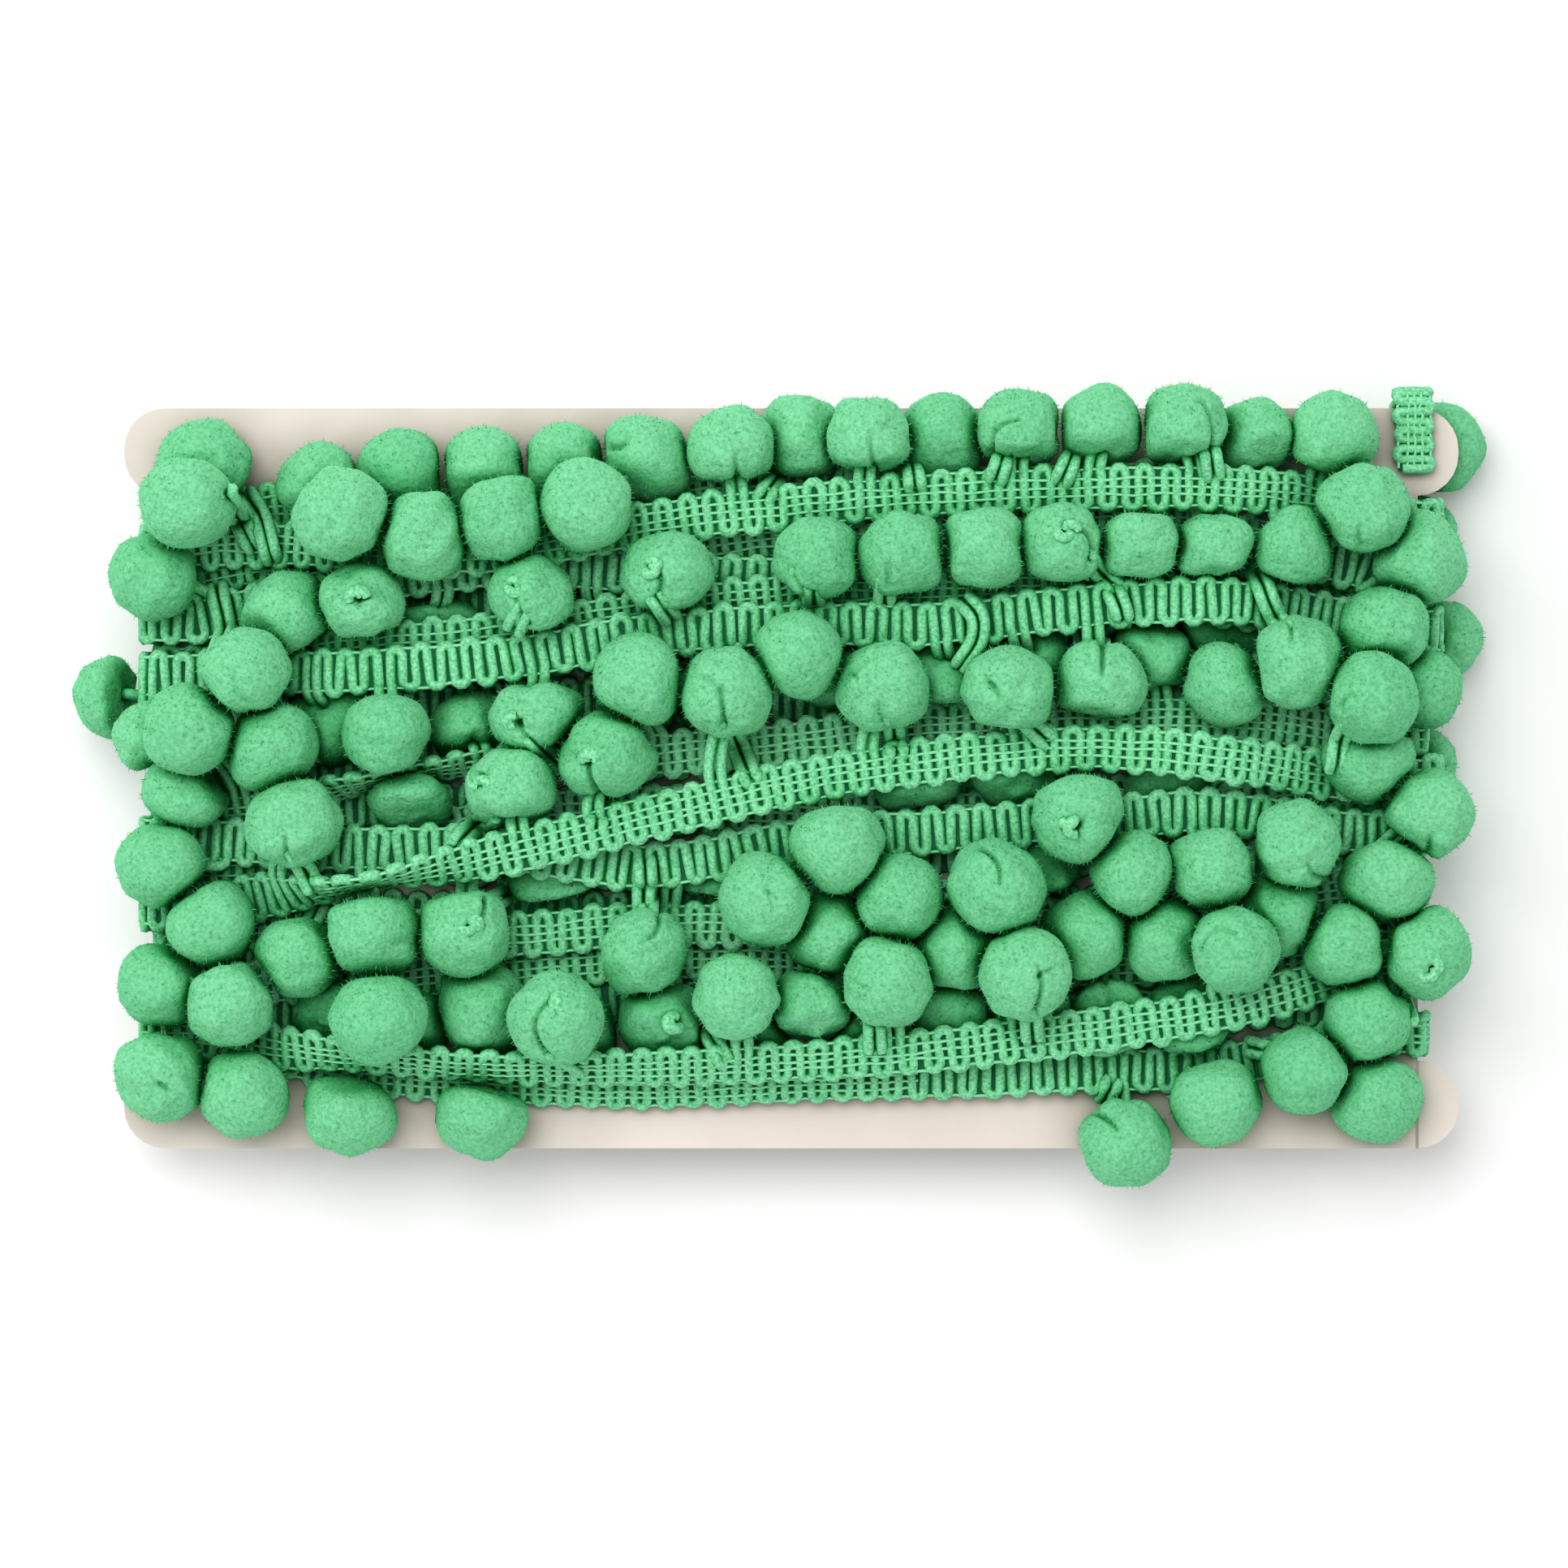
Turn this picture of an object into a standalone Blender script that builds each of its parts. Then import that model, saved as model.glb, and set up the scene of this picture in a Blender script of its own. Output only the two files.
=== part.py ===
"""Pompom fringe trim wound on a flat card, lying on its back.

A narrow gimp braid goes round and round a card with recessed ends. At every inch a loop of its
cord leaves one edge of the braid and holds a felt-like pompom. Each length of braid that crosses
the front or the back of the card is one solid with its own loops and pompoms, and a pompom is a
ball that its neighbours, the braids, the card and the table press flat where they meet it.

Frame: X runs along the card, Y up its face as it is looked at, Z up from the table.
Everything is laid out from the middle of the card, and moved at the end so that the origin is on
the table under the middle of the whole piece. Metres, with the tables in millimetres.
"""

import math
from collections import namedtuple

import bmesh
import bpy
import numpy as np

MM = 0.001

# The card: nine inches by five, with an ear at each corner and recessed ends between them.
CARD_LENGTH = 229.0
CARD_WIDTH = 127.0
CARD_THICKNESS = 1.2
EAR_WIDTH = 15.0
RECESS_DEPTH = 7.0
EAR_RADIUS = 7.0
CARD_UNDERSIDE = 15.5
ARC_STEPS = 6
# How far the middle of the card is from the middle of the whole piece.
CARD_PLACE = (1.6, 0.8, 0.0)

# The braid, and the loops of cord that leave its edge.
BRAID_WIDTH = 8.8
BRAID_THICKNESS = 1.8
LOOP_WIDTH = 2.8
LOOP_RADIUS = 1.5
POM_RADIUS = 7.9
POM_VARIATION = 0.05
END_POM_SHARE = 0.84
ROOT_SPACING = 6.0
FAR_OUT = 106.0
# The rings of points of a pompom, by their angles from its loop: more for those on top.
FINE_RINGS = (42, 75, 105, 138)
PLAIN_RINGS = (48, 90, 132)

# What keeps pieces apart, and how far soft pieces press into each other.
GAP = 0.3
POM_SPACING = 0.87
POM_TO_BRAID = 5.6
LEAST_REACH = 1.2
SETTLE_ROUNDS = 160

CARD_TOP = CARD_UNDERSIDE + CARD_THICKNESS
CARD_MIDDLE = CARD_UNDERSIDE + CARD_THICKNESS / 2
CARD_END = CARD_LENGTH / 2 - RECESS_DEPTH

# A braid goes round the card's end in one of two layers. For each layer: how far it is above
# the card there, out from its end, and under it.
END_RISE = (1.5, 4.0)
END_OUT = (1.3, 3.6)
END_UNDER = (1.2, 3.5)
WRAP_IN = 6.0
WRAP_STEPS = 3
TUCK = 14.0
FALL_FROM = 70.0
FALL_TO = 98.0

# The places along the card where a front braid's course, tilt and rise are given.
STATIONS = (-95, -75, -50, -25, 0, 25, 50, 75, 95)
RISE_PLACES = (-75, 0, 75)
LEVEL = (0, 0, 0, 0, 0, 0, 0, 0, 0)

Turn = namedtuple("Turn", "name layer side rise left right course tilt poms")

# One row for each length of braid across the front: its layer round the card's ends, the side
# that its pompoms hang on (1 up the card, -1 down), its rise above the card at the left, middle
# and right, its place at the card's ends, its course up the card and its tilt in degrees at each
# station, and its pompoms, each with its place and its height above the card.
FRONT = (
    Turn("turn_01", 0, 1, (1.6, 1.6, 1.6), 43.9, 43.5,
         (45.6, 46.4, 45, 47, 49, 50, 50, 51, 45.6), LEVEL,
         ((-78, 49, 6.5), (-65, 51, 6), (-54, 51, 6), (-40, 53, 6), (1, 57, 6), (26, 57, 6),
          (79, 57, 6))),
    Turn("turn_02", 0, 1, (3.6, 4.4, 4.4), 34.7, 34.3,
         (36.3, 37, 37, 38, 41, 42, 43, 41.8, 36), LEVEL,
         ((-25, 54, 8), (19, 38, 10.5), (60, 40, 8.5), (71, 39, 7.5))),
    Turn("turn_03", 1, -1, (6.2, 7, 7), 27, 34.5,
         (28.3, 33, 36, 35, 34, 36, 37, 38, 36.6), LEVEL,
         ((-108, 34.5, 6), (-84, 25, 6), (-61, 26, 5.5), (-32, 29, 5.5), (-10, 30, 5.5),
          (104.5, 36, 9))),
    Turn("turn_04", 1, 1, (11.5, 12, 12.5), 39.5, 43.8,
         (39.9, 39, 38.5, 43, 46, 48, 49, 49, 46.4), LEVEL,
         ((-100, 52, 9), (-101, 47, 15), (-76, 45, 15.5), (-62, 41, 15), (-49, 44, 15.5),
          (-35, 46, 15.5), (-9, 56, 10), (13, 57, 10.5), (38, 58, 10.5), (53, 58, 10.5),
          (68, 58.5, 10), (82, 41, 8.5), (90, 58, 7), (97, 44.5, 13), (109, 43, -9.5))),
    Turn("turn_05", 0, 1, (9.6, 9.6, 9.6), 19, 25.1,
         (19.5, 22, 24, 28, 31, 32, 32.5, 29.5, 26), LEVEL,
         ((-73, 30.5, 12.5), (-44, 32, 12.5), (-21, 35, 12.5), (4, 39, 12.5), (33, 39, 12.5),
          (46.5, 41, 12.5))),
    Turn("turn_06", 1, -1, (13, 13, 13), 17.5, 25.3,
         (18, 18, 20, 24, 26, 26, 29, 30, 26.8), LEVEL,
         ((-115, 14, -1), (-108, 6.5, 1), (-92, 16.5, 16), (-80, 9, 5.5), (-69, 8, 13.5),
          (-43.5, 13, 13), (-26, 16, 12.5), (-12, 11, 5.5), (1, 21, 16), (27, 17, 8), (40, 18, 5.5),
          (52, 16, 13.5), (84, 19, 15), (106, 17.5, 5), (113.5, 24, -9))),
    Turn("turn_07", 0, -1, (2, 2, 2), -16.2, -2,
         (-16.4, -13, -7, -5, -6, -6, -6, -5, -3), LEVEL,
         ((-66, -6, 6.5), (-40, -19, 5.5), (-12, -17, 5), (23, -4, 6), (37, -4, 6),
          (44, -17, 5.5), (64, -3, 6))),
    Turn("turn_08", 0, 1, (8, 6.4, 6.4), -7, 8,
         (-6.6, -1, 3, 4, 6, 9, 10, 10, 8), (0, 70, 50, 10, 0, 0, 0, 0, 0),
         ((-104, 1, 8), (-100, 6.5, 12), (-87, 7.5, 11), (-54, 6.5, 5.5), (-21, 8, 6), (10, 12, 6),
          (64, 20, 8), (73, 18, 6.5), (76, 26, 7), (102, 25, 11), (98, 5, 6))),
    Turn("turn_09", 1, -1, (9.4, 9.4, 9.4), -10.6, -9.4,
         (-11, -12, -12, -15, -11, -9, -7, -6, -9.2), LEVEL,
         ((-104, -18, 8), (-71, -25.5, 13), (-55.5, -25.5, 13), (-25, -29, 13), (8, -12, 15.5),
          (33.5, -20, 14.5), (48.5, -7, 15), (71, -15, 12.5), (85, -12, 13), (106.5, -8, 9))),
    Turn("turn_10", 1, 1, (16.4, 14.6, 14.6), -22, -0.1,
         (-21, -18, -13, -7, -1, 3, 5, 3, 0), (0, 75, 20, 0, 0, 0, 0, 0, 0),
         ((-104, -25, 7.5), (-84, -7, 16), (-47, -2, 15), (-31.5, 4.5, 15), (-11, 14.5, 15),
          (15, 15.5, 15.5), (37, 15.5, 15), (98, 13, 14.5), (109, 2.5, -9))),
    Turn("turn_11", 0, 1, (4.6, 4.6, 4.6), -25.4, -18,
         (-25.5, -26, -27, -25, -25, -24, -24, -22, -19), LEVEL,
         ((-83, -30.5, 10), (-3, -21, 12.5), (4, -28, 9), (18, -21, 13),
          (29, -30, 8), (50, -25, 8), (56, -17, 12.5), (64, -28, 7.5), (85, -23, 8), (95, -25, 6.5),
          (101, -18, 9))),
    Turn("turn_12", 0, -1, (1.8, 1.8, 1.8), -34.6, -27.6,
         (-34.9, -34.5, -33, -31, -31, -32, -32, -31, -29), LEVEL,
         ((-104, -33, 7), (-82, -41, 6), (-68, -42, 5), (-54, -39.5, 6.5), (-38, -43, 5),
          (-22, -42, 8), (-5, -45, 5), (4, -41, 6.5), (17, -45, 5), (28, -39, 7), (36, -43, 5),
          (52, -37, 6.5), (68, -38, 5))),
    Turn("turn_13", 1, 1, (10.4, 10, 9.4), -43.8, -32,
         (-45, -47, -49, -49, -48, -46, -43, -39, -33.5), (0, 45, 50, 40, 30, 15, 0, 0, 0),
         ((-95, -38, 13), (-68.5, -41, 13), (-39, -41, 12), (-9, -37.5, 14), (16, -35, 14),
          (39.5, -32, 13), (74, -29, 16.5), (106.5, -29, 9))),
    Turn("turn_14", 0, -1, (1.6, 4, 1.6), -43.8, -43.8,
         (-45, -50, -52, -53, -52, -51, -50, -49, -45), (0, 0, 20, 30, 30, 20, 0, 0, 0),
         ((-107, -50, 7), (-93, -52, 6), (-75, -54.5, 6), (-53, -57, 6), (57, -62, 6),
          (72, -55, 5.5), (87.5, -50, 9), (97, -39, 5), (99, -54, 5.5))),
)

BackTurn = namedtuple("BackTurn", "name layer side left right first")

# One row for each length of braid across the back, which is finished plainly: its layer, the side
# of its pompoms, its ends, and where its first pompom lies. The others follow at the trim's pitch.
BACK = (
    BackTurn("back_01", 1, 1, 43.8, 43.8, -88),
    BackTurn("back_02", 1, 1, 27, 34.5, -75),
    BackTurn("back_03", 1, 1, 17.5, 25.3, -88),
    BackTurn("back_04", 0, 1, -7, 8, -75),
    BackTurn("back_05", 1, 1, -10.6, -0.1, -88),
    BackTurn("back_06", 1, 1, -22, -9.4, -75),
    BackTurn("back_07", 0, 1, -34.6, -27.6, -88),
    BackTurn("back_08", 1, -1, -43.8, -32, -75),
)
BACK_WIDTH = 7.0
BACK_POM_OUT = 6.4
BACK_POM_HEIGHT = 5.6
POM_PITCH = 25.4

# The start of the trim: it hooks over the card's top edge, with one pompom behind the card.
TAIL_X = 106.6
TAIL_FOOT = 51.8
TAIL_WIDTH = 7.4
TAIL_POM = (112.5, 57.5, 7.6)

GREEN = (0.17, 0.50, 0.26)
CARD_WHITE = (0.70, 0.66, 0.58)


def unit(v):
    """The vector with length 1."""
    return v / np.linalg.norm(v)


def smooth(x, known, values):
    """The value at x of a curve that passes smoothly through the known values."""
    slopes = np.gradient(np.array(values, float), np.array(known, float))
    i = int(np.clip(np.searchsorted(known, x) - 1, 0, len(known) - 2))
    span = known[i + 1] - known[i]
    t = (x - known[i]) / span
    rising = t * t * (3 - 2 * t)
    bend = span * (t * (1 - t) ** 2 * slopes[i] - t * t * (1 - t) * slopes[i + 1])
    return values[i] * (1 - rising) + values[i + 1] * rising + bend


def round_the_end(end, layer, y):
    """Points round one end of the card, from over it to under it. end is -1 or 1."""
    inner = CARD_END - WRAP_IN
    out = WRAP_IN + END_OUT[layer]
    rise = END_RISE[layer] + CARD_THICKNESS / 2
    drop = END_UNDER[layer] + CARD_THICKNESS / 2
    quarter = [math.radians(90 * i / WRAP_STEPS) for i in range(WRAP_STEPS + 1)]
    over = [(inner + out * math.sqrt(math.sin(a)), CARD_MIDDLE + rise * math.sqrt(math.cos(a)))
            for a in quarter[:-1]]
    under = [(inner + out * math.sqrt(math.cos(a)), CARD_MIDDLE - drop * math.sqrt(math.sin(a)))
             for a in quarter]
    under.append((CARD_END - TUCK, CARD_MIDDLE - drop))
    return [(end * x, y, z) for x, z in over + under]


def rise_at(turn, x):
    """How far a front braid is above the card: less and less towards the card's ends."""
    full = smooth(float(np.clip(x, RISE_PLACES[0], RISE_PLACES[-1])), RISE_PLACES, turn.rise)
    t = float(np.clip((FALL_TO - abs(x)) / (FALL_TO - FALL_FROM), 0, 1))
    share = t * t * (3 - 2 * t)
    return END_RISE[turn.layer] * (1 - share) + full * share


def front_route(turn, xs):
    """The middle line and the tilt of a front braid through the given places along the card."""
    known = (WRAP_IN - CARD_END,) + STATIONS + (CARD_END - WRAP_IN,)
    course = (turn.left,) + turn.course + (turn.right,)
    tilt = (0,) + turn.tilt + (0,)
    left = round_the_end(-1, turn.layer, turn.left)[::-1]
    right = round_the_end(1, turn.layer, turn.right)
    middle = [(x, smooth(x, known, course), CARD_TOP + rise_at(turn, x)) for x in xs]
    tilts = [0] * len(left) + [smooth(x, known, tilt) for x in xs] + [0] * len(right)
    return np.array(left + middle + right), np.radians(tilts)


class Braid:
    """A length of braid: its route, its directions and the corners of its sections."""

    def __init__(self, name, route, side, tilts=None, width=BRAID_WIDTH, across=(0, 1, 0)):
        self.name, self.route, self.width = name, route, width
        self.along = np.gradient(route, axis=0)
        self.along /= np.linalg.norm(self.along, axis=1)[:, None]
        flat = np.array(across) - self.along * (self.along @ across)[:, None]
        flat /= np.linalg.norm(flat, axis=1)[:, None]
        up = np.cross(self.along, flat)
        tilts = np.zeros(len(route)) if tilts is None else tilts
        self.edge = side * (flat * np.cos(tilts)[:, None] + up * np.sin(tilts)[:, None])
        self.face = np.cross(self.along, self.edge)
        half, thick = self.edge * width / 2, self.face * BRAID_THICKNESS / 2
        self.rings = np.stack([route + half + thick, route + half - thick,
                               route - half - thick, route - half + thick], axis=1)
        self.roots = []

    def stretches(self):
        """The corners of each stretch, one row of eight for each."""
        return np.concatenate([self.rings[:-1], self.rings[1:]], axis=1)

    def root(self, k, ball):
        """Where a loop leaves stretch k: the place, and which of the stretch's sides it is on."""
        away = (ball - self.route[k]) @ self.edge[k]
        side = 2 if away < -self.width / 2 - 1 else 0
        return self.rings[k:k + 2, side:side + 2].mean(axis=(0, 1)), side


def with_roots(xs, roots):
    """The places of a braid's sections: two close ones for each loop, and others between them."""
    kept = [x for x in xs if all(abs(x - r) > LOOP_WIDTH * 1.6 for r in roots)]
    pairs = [r + s * LOOP_WIDTH / 2 for r in roots for s in (-1, 1)]
    return sorted(kept + pairs)


def spread_out(places, least, limit):
    """The places, moved so that neighbours are at least that far apart and none passes the limit."""
    order = np.argsort(places, kind="stable")
    moved = np.array(places, float)[order]
    for _ in range(200):
        moved = np.clip(moved, -limit, limit)
        for a in range(len(moved) - 1):
            short = least - (moved[a + 1] - moved[a])
            if short > 0:
                moved[a] -= short / 2
                moved[a + 1] += short / 2
    result = np.empty(len(places))
    result[order] = moved
    return [float(x) for x in result]


def settle(balls, radii, braids, on_card):
    """Moves the balls apart until each has its room, holding each near its own place."""
    homes = balls.copy()
    stretches = np.concatenate([b.stretches() for b in braids])
    middles = stretches.mean(axis=1)
    near = [stretches[np.linalg.norm(middles - c, axis=1) < 24] for c in balls]
    for _ in range(SETTLE_ROUNDS):
        push = (homes - balls) * (0.06, 0.06, 0.03)
        for i in range(len(balls)):
            apart = balls[i] - balls
            distance = np.linalg.norm(apart, axis=1)
            wanted = POM_SPACING * (radii[i] + radii)
            close = (distance < wanted) & (distance > 1e-9)
            share = ((wanted - distance) / np.maximum(distance, 1e-9) * 0.5)[close]
            push[i] += (apart[close] * share[:, None]).sum(axis=0) * 0.8
            away = balls[i] - nearest_on_stretches(balls[i], near[i])
            length = np.maximum(np.linalg.norm(away, axis=1), 1e-3)
            short = np.maximum(POM_TO_BRAID - length, 0)
            push[i] += (away * (short / length)[:, None]).sum(axis=0) * 0.35
        balls = balls + push
        low = np.where(on_card(balls), CARD_TOP + 5.2, 6.0)
        balls[:, 2] = np.maximum(balls[:, 2], low)
    return balls


def nearest_on_stretches(point, corners):
    """The point of each stretch's middle surface that is nearest to the given point."""
    start = corners[:, 2:4].mean(axis=1)
    across = corners[:, :2].mean(axis=1) - start
    along = corners[:, 4:].mean(axis=1) - corners[:, :4].mean(axis=1)
    offset = point - start
    a = np.clip((offset * along).sum(axis=1) / (along * along).sum(axis=1), 0, 1)[:, None]
    offset = offset - along * a
    c = np.clip((offset * across).sum(axis=1) / (across * across).sum(axis=1), 0, 1)[:, None]
    return start + along * a + across * c


def pressing_planes(i, balls, radii, roots, stretches, middles, card_corners):
    """What flattens ball i: (direction, distance) of each plane that it may not pass."""
    centre, planes = balls[i], []
    for j in range(len(balls)):
        apart = balls[j] - centre
        distance = np.linalg.norm(apart)
        if j != i and distance < radii[i] + radii[j] + GAP:
            share = 0.5 + (radii[i] - radii[j]) / (2 * distance)
            planes.append((apart / distance, distance * share - GAP / 2))
        if j != i and np.linalg.norm(roots[j] - centre) < radii[i] + 12:
            planes.append(plane_to(centre, np.array([roots[j], balls[j]]), LOOP_RADIUS * 1.5))
    close = stretches[np.linalg.norm(middles - centre, axis=1) < radii[i] + 12]
    for corners, nearest in zip(close, nearest_on_stretches(centre, close)):
        towards = unit(nearest - centre)
        planes.append((towards, ((corners - centre) @ towards).min() - GAP))
    nearest = np.clip(centre, card_corners[0], card_corners[1])
    if np.linalg.norm(nearest - centre) > 1e-6:
        planes.append((unit(nearest - centre), np.linalg.norm(nearest - centre) - GAP))
    planes.append((np.array((0.0, 0.0, -1.0)), centre[2]))
    return planes


def plane_to(centre, line, thickness):
    """The plane between a centre and a short straight cord."""
    start, run = line[0], line[1] - line[0]
    t = np.clip((centre - start) @ run / (run @ run), 0, 1)
    towards = unit(start + run * t - centre)
    return towards, ((line - centre) @ towards).min() - thickness - GAP


def reach(direction, radius, planes):
    """How far a pressed ball reaches from its centre in a direction."""
    far = radius
    for u, h in planes:
        facing = direction @ u
        if facing > 1e-6:
            far = min(far, h / facing)
    return max(far, LEAST_REACH)


def ball_rings(centre, root, lie, radius, planes, polar_angles):
    """The rings of points of a pressed ball, from its loop to its far end."""
    axis = unit(root - centre)
    first = unit(lie - axis * (lie @ axis))
    second = np.cross(axis, first)
    rings = []
    at_loop = [(4, math.asin(LOOP_RADIUS / radius))]
    for count, angle in at_loop + [(8, math.radians(a)) for a in polar_angles]:
        ring = []
        for s in range(count):
            turn = 2 * math.pi * (s + 0.5) / count
            around = first * math.cos(turn) + second * math.sin(turn)
            d = axis * math.cos(angle) + around * math.sin(angle)
            ring.append(centre + d * reach(d, radius, planes))
        rings.append(ring)
    rings.append([centre - axis * reach(-axis, radius, planes)])
    return rings


def add_ball(mesh, rings, hole):
    """Adds a ball, joined by its loop of cord to the four corners of a hole in the braid."""
    made = [[mesh.verts.new(p * MM) for p in ring] for ring in rings]
    first, second = made[0], made[1]
    hole = hole[::-1]
    ways = [hole[k:] + hole[:k] for k in range(4)]
    best = min(ways, key=lambda w: sum((a.co - b.co).length for a, b in zip(w, first)))
    for k in range(4):
        mesh.faces.new((best[k], best[(k + 1) % 4], first[(k + 1) % 4], first[k]))
        mesh.faces.new((first[k], second[2 * k], second[2 * k + 1]))
        mesh.faces.new((first[k], first[(k + 1) % 4], second[(2 * k + 2) % 8], second[2 * k + 1]))
    for ring, following in zip(made[1:-2], made[2:-1]):
        for k in range(8):
            mesh.faces.new((ring[k], ring[(k + 1) % 8], following[(k + 1) % 8], following[k]))
    for k in range(8):
        mesh.faces.new((made[-2][k], made[-2][(k + 1) % 8], made[-1][0]))


def add_object(name, mesh, material):
    """Turns a mesh being built into an object in its place, with its material."""
    bmesh.ops.translate(mesh, vec=[offset * MM for offset in CARD_PLACE], verts=mesh.verts)
    bmesh.ops.recalc_face_normals(mesh, faces=mesh.faces)
    if mesh.calc_volume(signed=True) < 0:
        bmesh.ops.reverse_faces(mesh, faces=mesh.faces)
    data = bpy.data.meshes.new(name)
    mesh.to_mesh(data)
    mesh.free()
    data.shade_smooth()
    data.set_sharp_from_angle(angle=math.radians(50))
    data.materials.append(material)
    made = bpy.data.objects.new(name, data)
    bpy.context.collection.objects.link(made)
    return made


def finish(name, colour, roughness):
    """A plain material of one colour."""
    made = bpy.data.materials.new(name)
    made.use_nodes = True
    shader = made.node_tree.nodes["Principled BSDF"]
    shader.inputs["Base Color"].default_value = (*colour, 1)
    shader.inputs["Roughness"].default_value = roughness
    return made


def make_braid(braid, balls, material):
    """Makes a braid with its loops and pompoms as one solid."""
    mesh = bmesh.new()
    rings = [[mesh.verts.new(p * MM) for p in ring] for ring in braid.rings]
    for i, (ring, following) in enumerate(zip(rings[:-1], rings[1:])):
        for k in range(4):
            corners = [ring[k], following[k], following[(k + 1) % 4], ring[(k + 1) % 4]]
            if (i, k) in balls:
                add_ball(mesh, balls[i, k], corners)
            else:
                mesh.faces.new(corners)
    mesh.faces.new(rings[0])
    mesh.faces.new(rings[-1])
    return add_object(braid.name, mesh, material)


def arc(x, y, start):
    """A quarter of an ear's rounded corner, clockwise from an angle in degrees."""
    angles = [math.radians(start + 90 * i / ARC_STEPS) for i in range(ARC_STEPS + 1)]
    return [(x + EAR_RADIUS * math.sin(a), y + EAR_RADIUS * math.cos(a)) for a in angles]


def card_outline():
    """The card's outline, right half from top to bottom, then its mirror image."""
    top, edge = CARD_WIDTH / 2, CARD_LENGTH / 2
    ear = top - EAR_WIDTH
    upper = arc(edge - EAR_RADIUS, top - EAR_RADIUS, 0) + arc(edge - EAR_RADIUS, ear + EAR_RADIUS, 90)
    upper.append((CARD_END, ear))
    right = upper + [(x, -y) for x, y in reversed(upper)]
    return right + [(-x, y) for x, y in reversed(right)]


def make_card(material):
    """The card, a flat sheet cut to its outline."""
    mesh = bmesh.new()
    outline = []
    for x, y in card_outline():
        if not outline or math.dist(outline[-1], (x, y)) > 0.01:
            outline.append((x, y))
    low = [mesh.verts.new((x * MM, y * MM, CARD_UNDERSIDE * MM)) for x, y in outline]
    face = mesh.faces.new(low)
    raised = bmesh.ops.extrude_face_region(mesh, geom=[face])["geom"]
    top = [v for v in raised if isinstance(v, bmesh.types.BMVert)]
    bmesh.ops.translate(mesh, vec=(0, 0, CARD_THICKNESS * MM), verts=top)
    return add_object("card", mesh, material)


def over_card(balls):
    """Which balls lie over the card and not past its edges."""
    beyond = (abs(balls[:, 0]) > CARD_END + 2) | (abs(balls[:, 1]) > CARD_WIDTH / 2 + 2)
    return ~beyond & (balls[:, 2] > CARD_MIDDLE)


def front_braids():
    """The front braids, with the stretch that each pompom's loop leaves."""
    made = []
    for turn in FRONT:
        limit = CARD_END - WRAP_IN - 2.6
        grid = {*STATIONS, -85, 85}
        if turn.tilt != LEVEL:
            grid |= {-62.5, -37.5}
        wanted = [pom[0] for pom in turn.poms]
        inside = [i for i, (x, _, h) in enumerate(turn.poms) if abs(x) < FAR_OUT or h > 4]
        roots = spread_out([wanted[i] for i in inside], ROOT_SPACING, limit)
        route, tilts = front_route(turn, with_roots(grid, roots))
        braid = Braid(turn.name, route, turn.side, tilts)
        middles = (braid.route[:-1] + braid.route[1:]) / 2
        not_front = (middles[:, 2] < CARD_TOP) | (abs(middles[:, 0]) > limit + 2)
        braid.roots = [0] * len(wanted)
        for i, r in zip(inside, roots):
            braid.roots[i] = int(np.argmin(np.abs(middles[:, 0] - r) + 1000 * not_front))
        # A pompom past the end of the card hangs from the nearest stretch that is still free there.
        for i in set(range(len(wanted))) - set(inside):
            x, y, h = turn.poms[i]
            away = np.linalg.norm(middles - (x, y, CARD_TOP + h), axis=1)
            away[braid.roots] = 1000
            away[abs(middles[:, 0]) < CARD_END] = 1000
            braid.roots[i] = int(np.argmin(away))
        made.append(braid)
    return made


def back_braids():
    """The back braids, and where each of their pompoms starts."""
    made, starts = [], []
    for turn in BACK:
        z = CARD_UNDERSIDE - END_UNDER[turn.layer]
        limit = CARD_END - TUCK - GAP
        roots = list(np.arange(turn.first, limit - LOOP_WIDTH, POM_PITCH))
        xs = with_roots([-limit, limit], roots)
        slope = (turn.right - turn.left) / (2 * limit)
        middle = (turn.right + turn.left) / 2
        route = np.array([(x, middle + slope * x, z) for x in xs])
        braid = Braid(turn.name, route, turn.side, width=BACK_WIDTH)
        middles = (route[:-1, 0] + route[1:, 0]) / 2
        braid.roots = [int(np.argmin(np.abs(middles - r))) for r in roots]
        starts.append([(r, middle + slope * r + turn.side * BACK_POM_OUT, BACK_POM_HEIGHT)
                       for r in roots])
        made.append(braid)
    return made, starts


def tail_braid():
    """The start of the trim, hooked over the card's top edge from front to back."""
    top = CARD_WIDTH / 2
    depth = CARD_THICKNESS / 2 + BRAID_THICKNESS / 2 + GAP + 0.6
    arc = [(top + 3.0 * math.cos(a), CARD_MIDDLE + depth * math.sin(a))
           for a in (math.radians(d) for d in (90, 60, 30, 0, -30, -60, -90))]
    front = [(TAIL_FOOT, CARD_MIDDLE + depth), (57.5, CARD_MIDDLE + depth)]
    behind = [(60, CARD_MIDDLE - depth), (57, CARD_MIDDLE - depth), (TAIL_FOOT, CARD_MIDDLE - depth)]
    route = np.array([(TAIL_X, y, z) for y, z in front + arc + behind])
    braid = Braid("trim_tail", route, 1, width=TAIL_WIDTH, across=(1, 0, 0))
    braid.roots = [len(route) - 3]
    return braid


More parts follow.
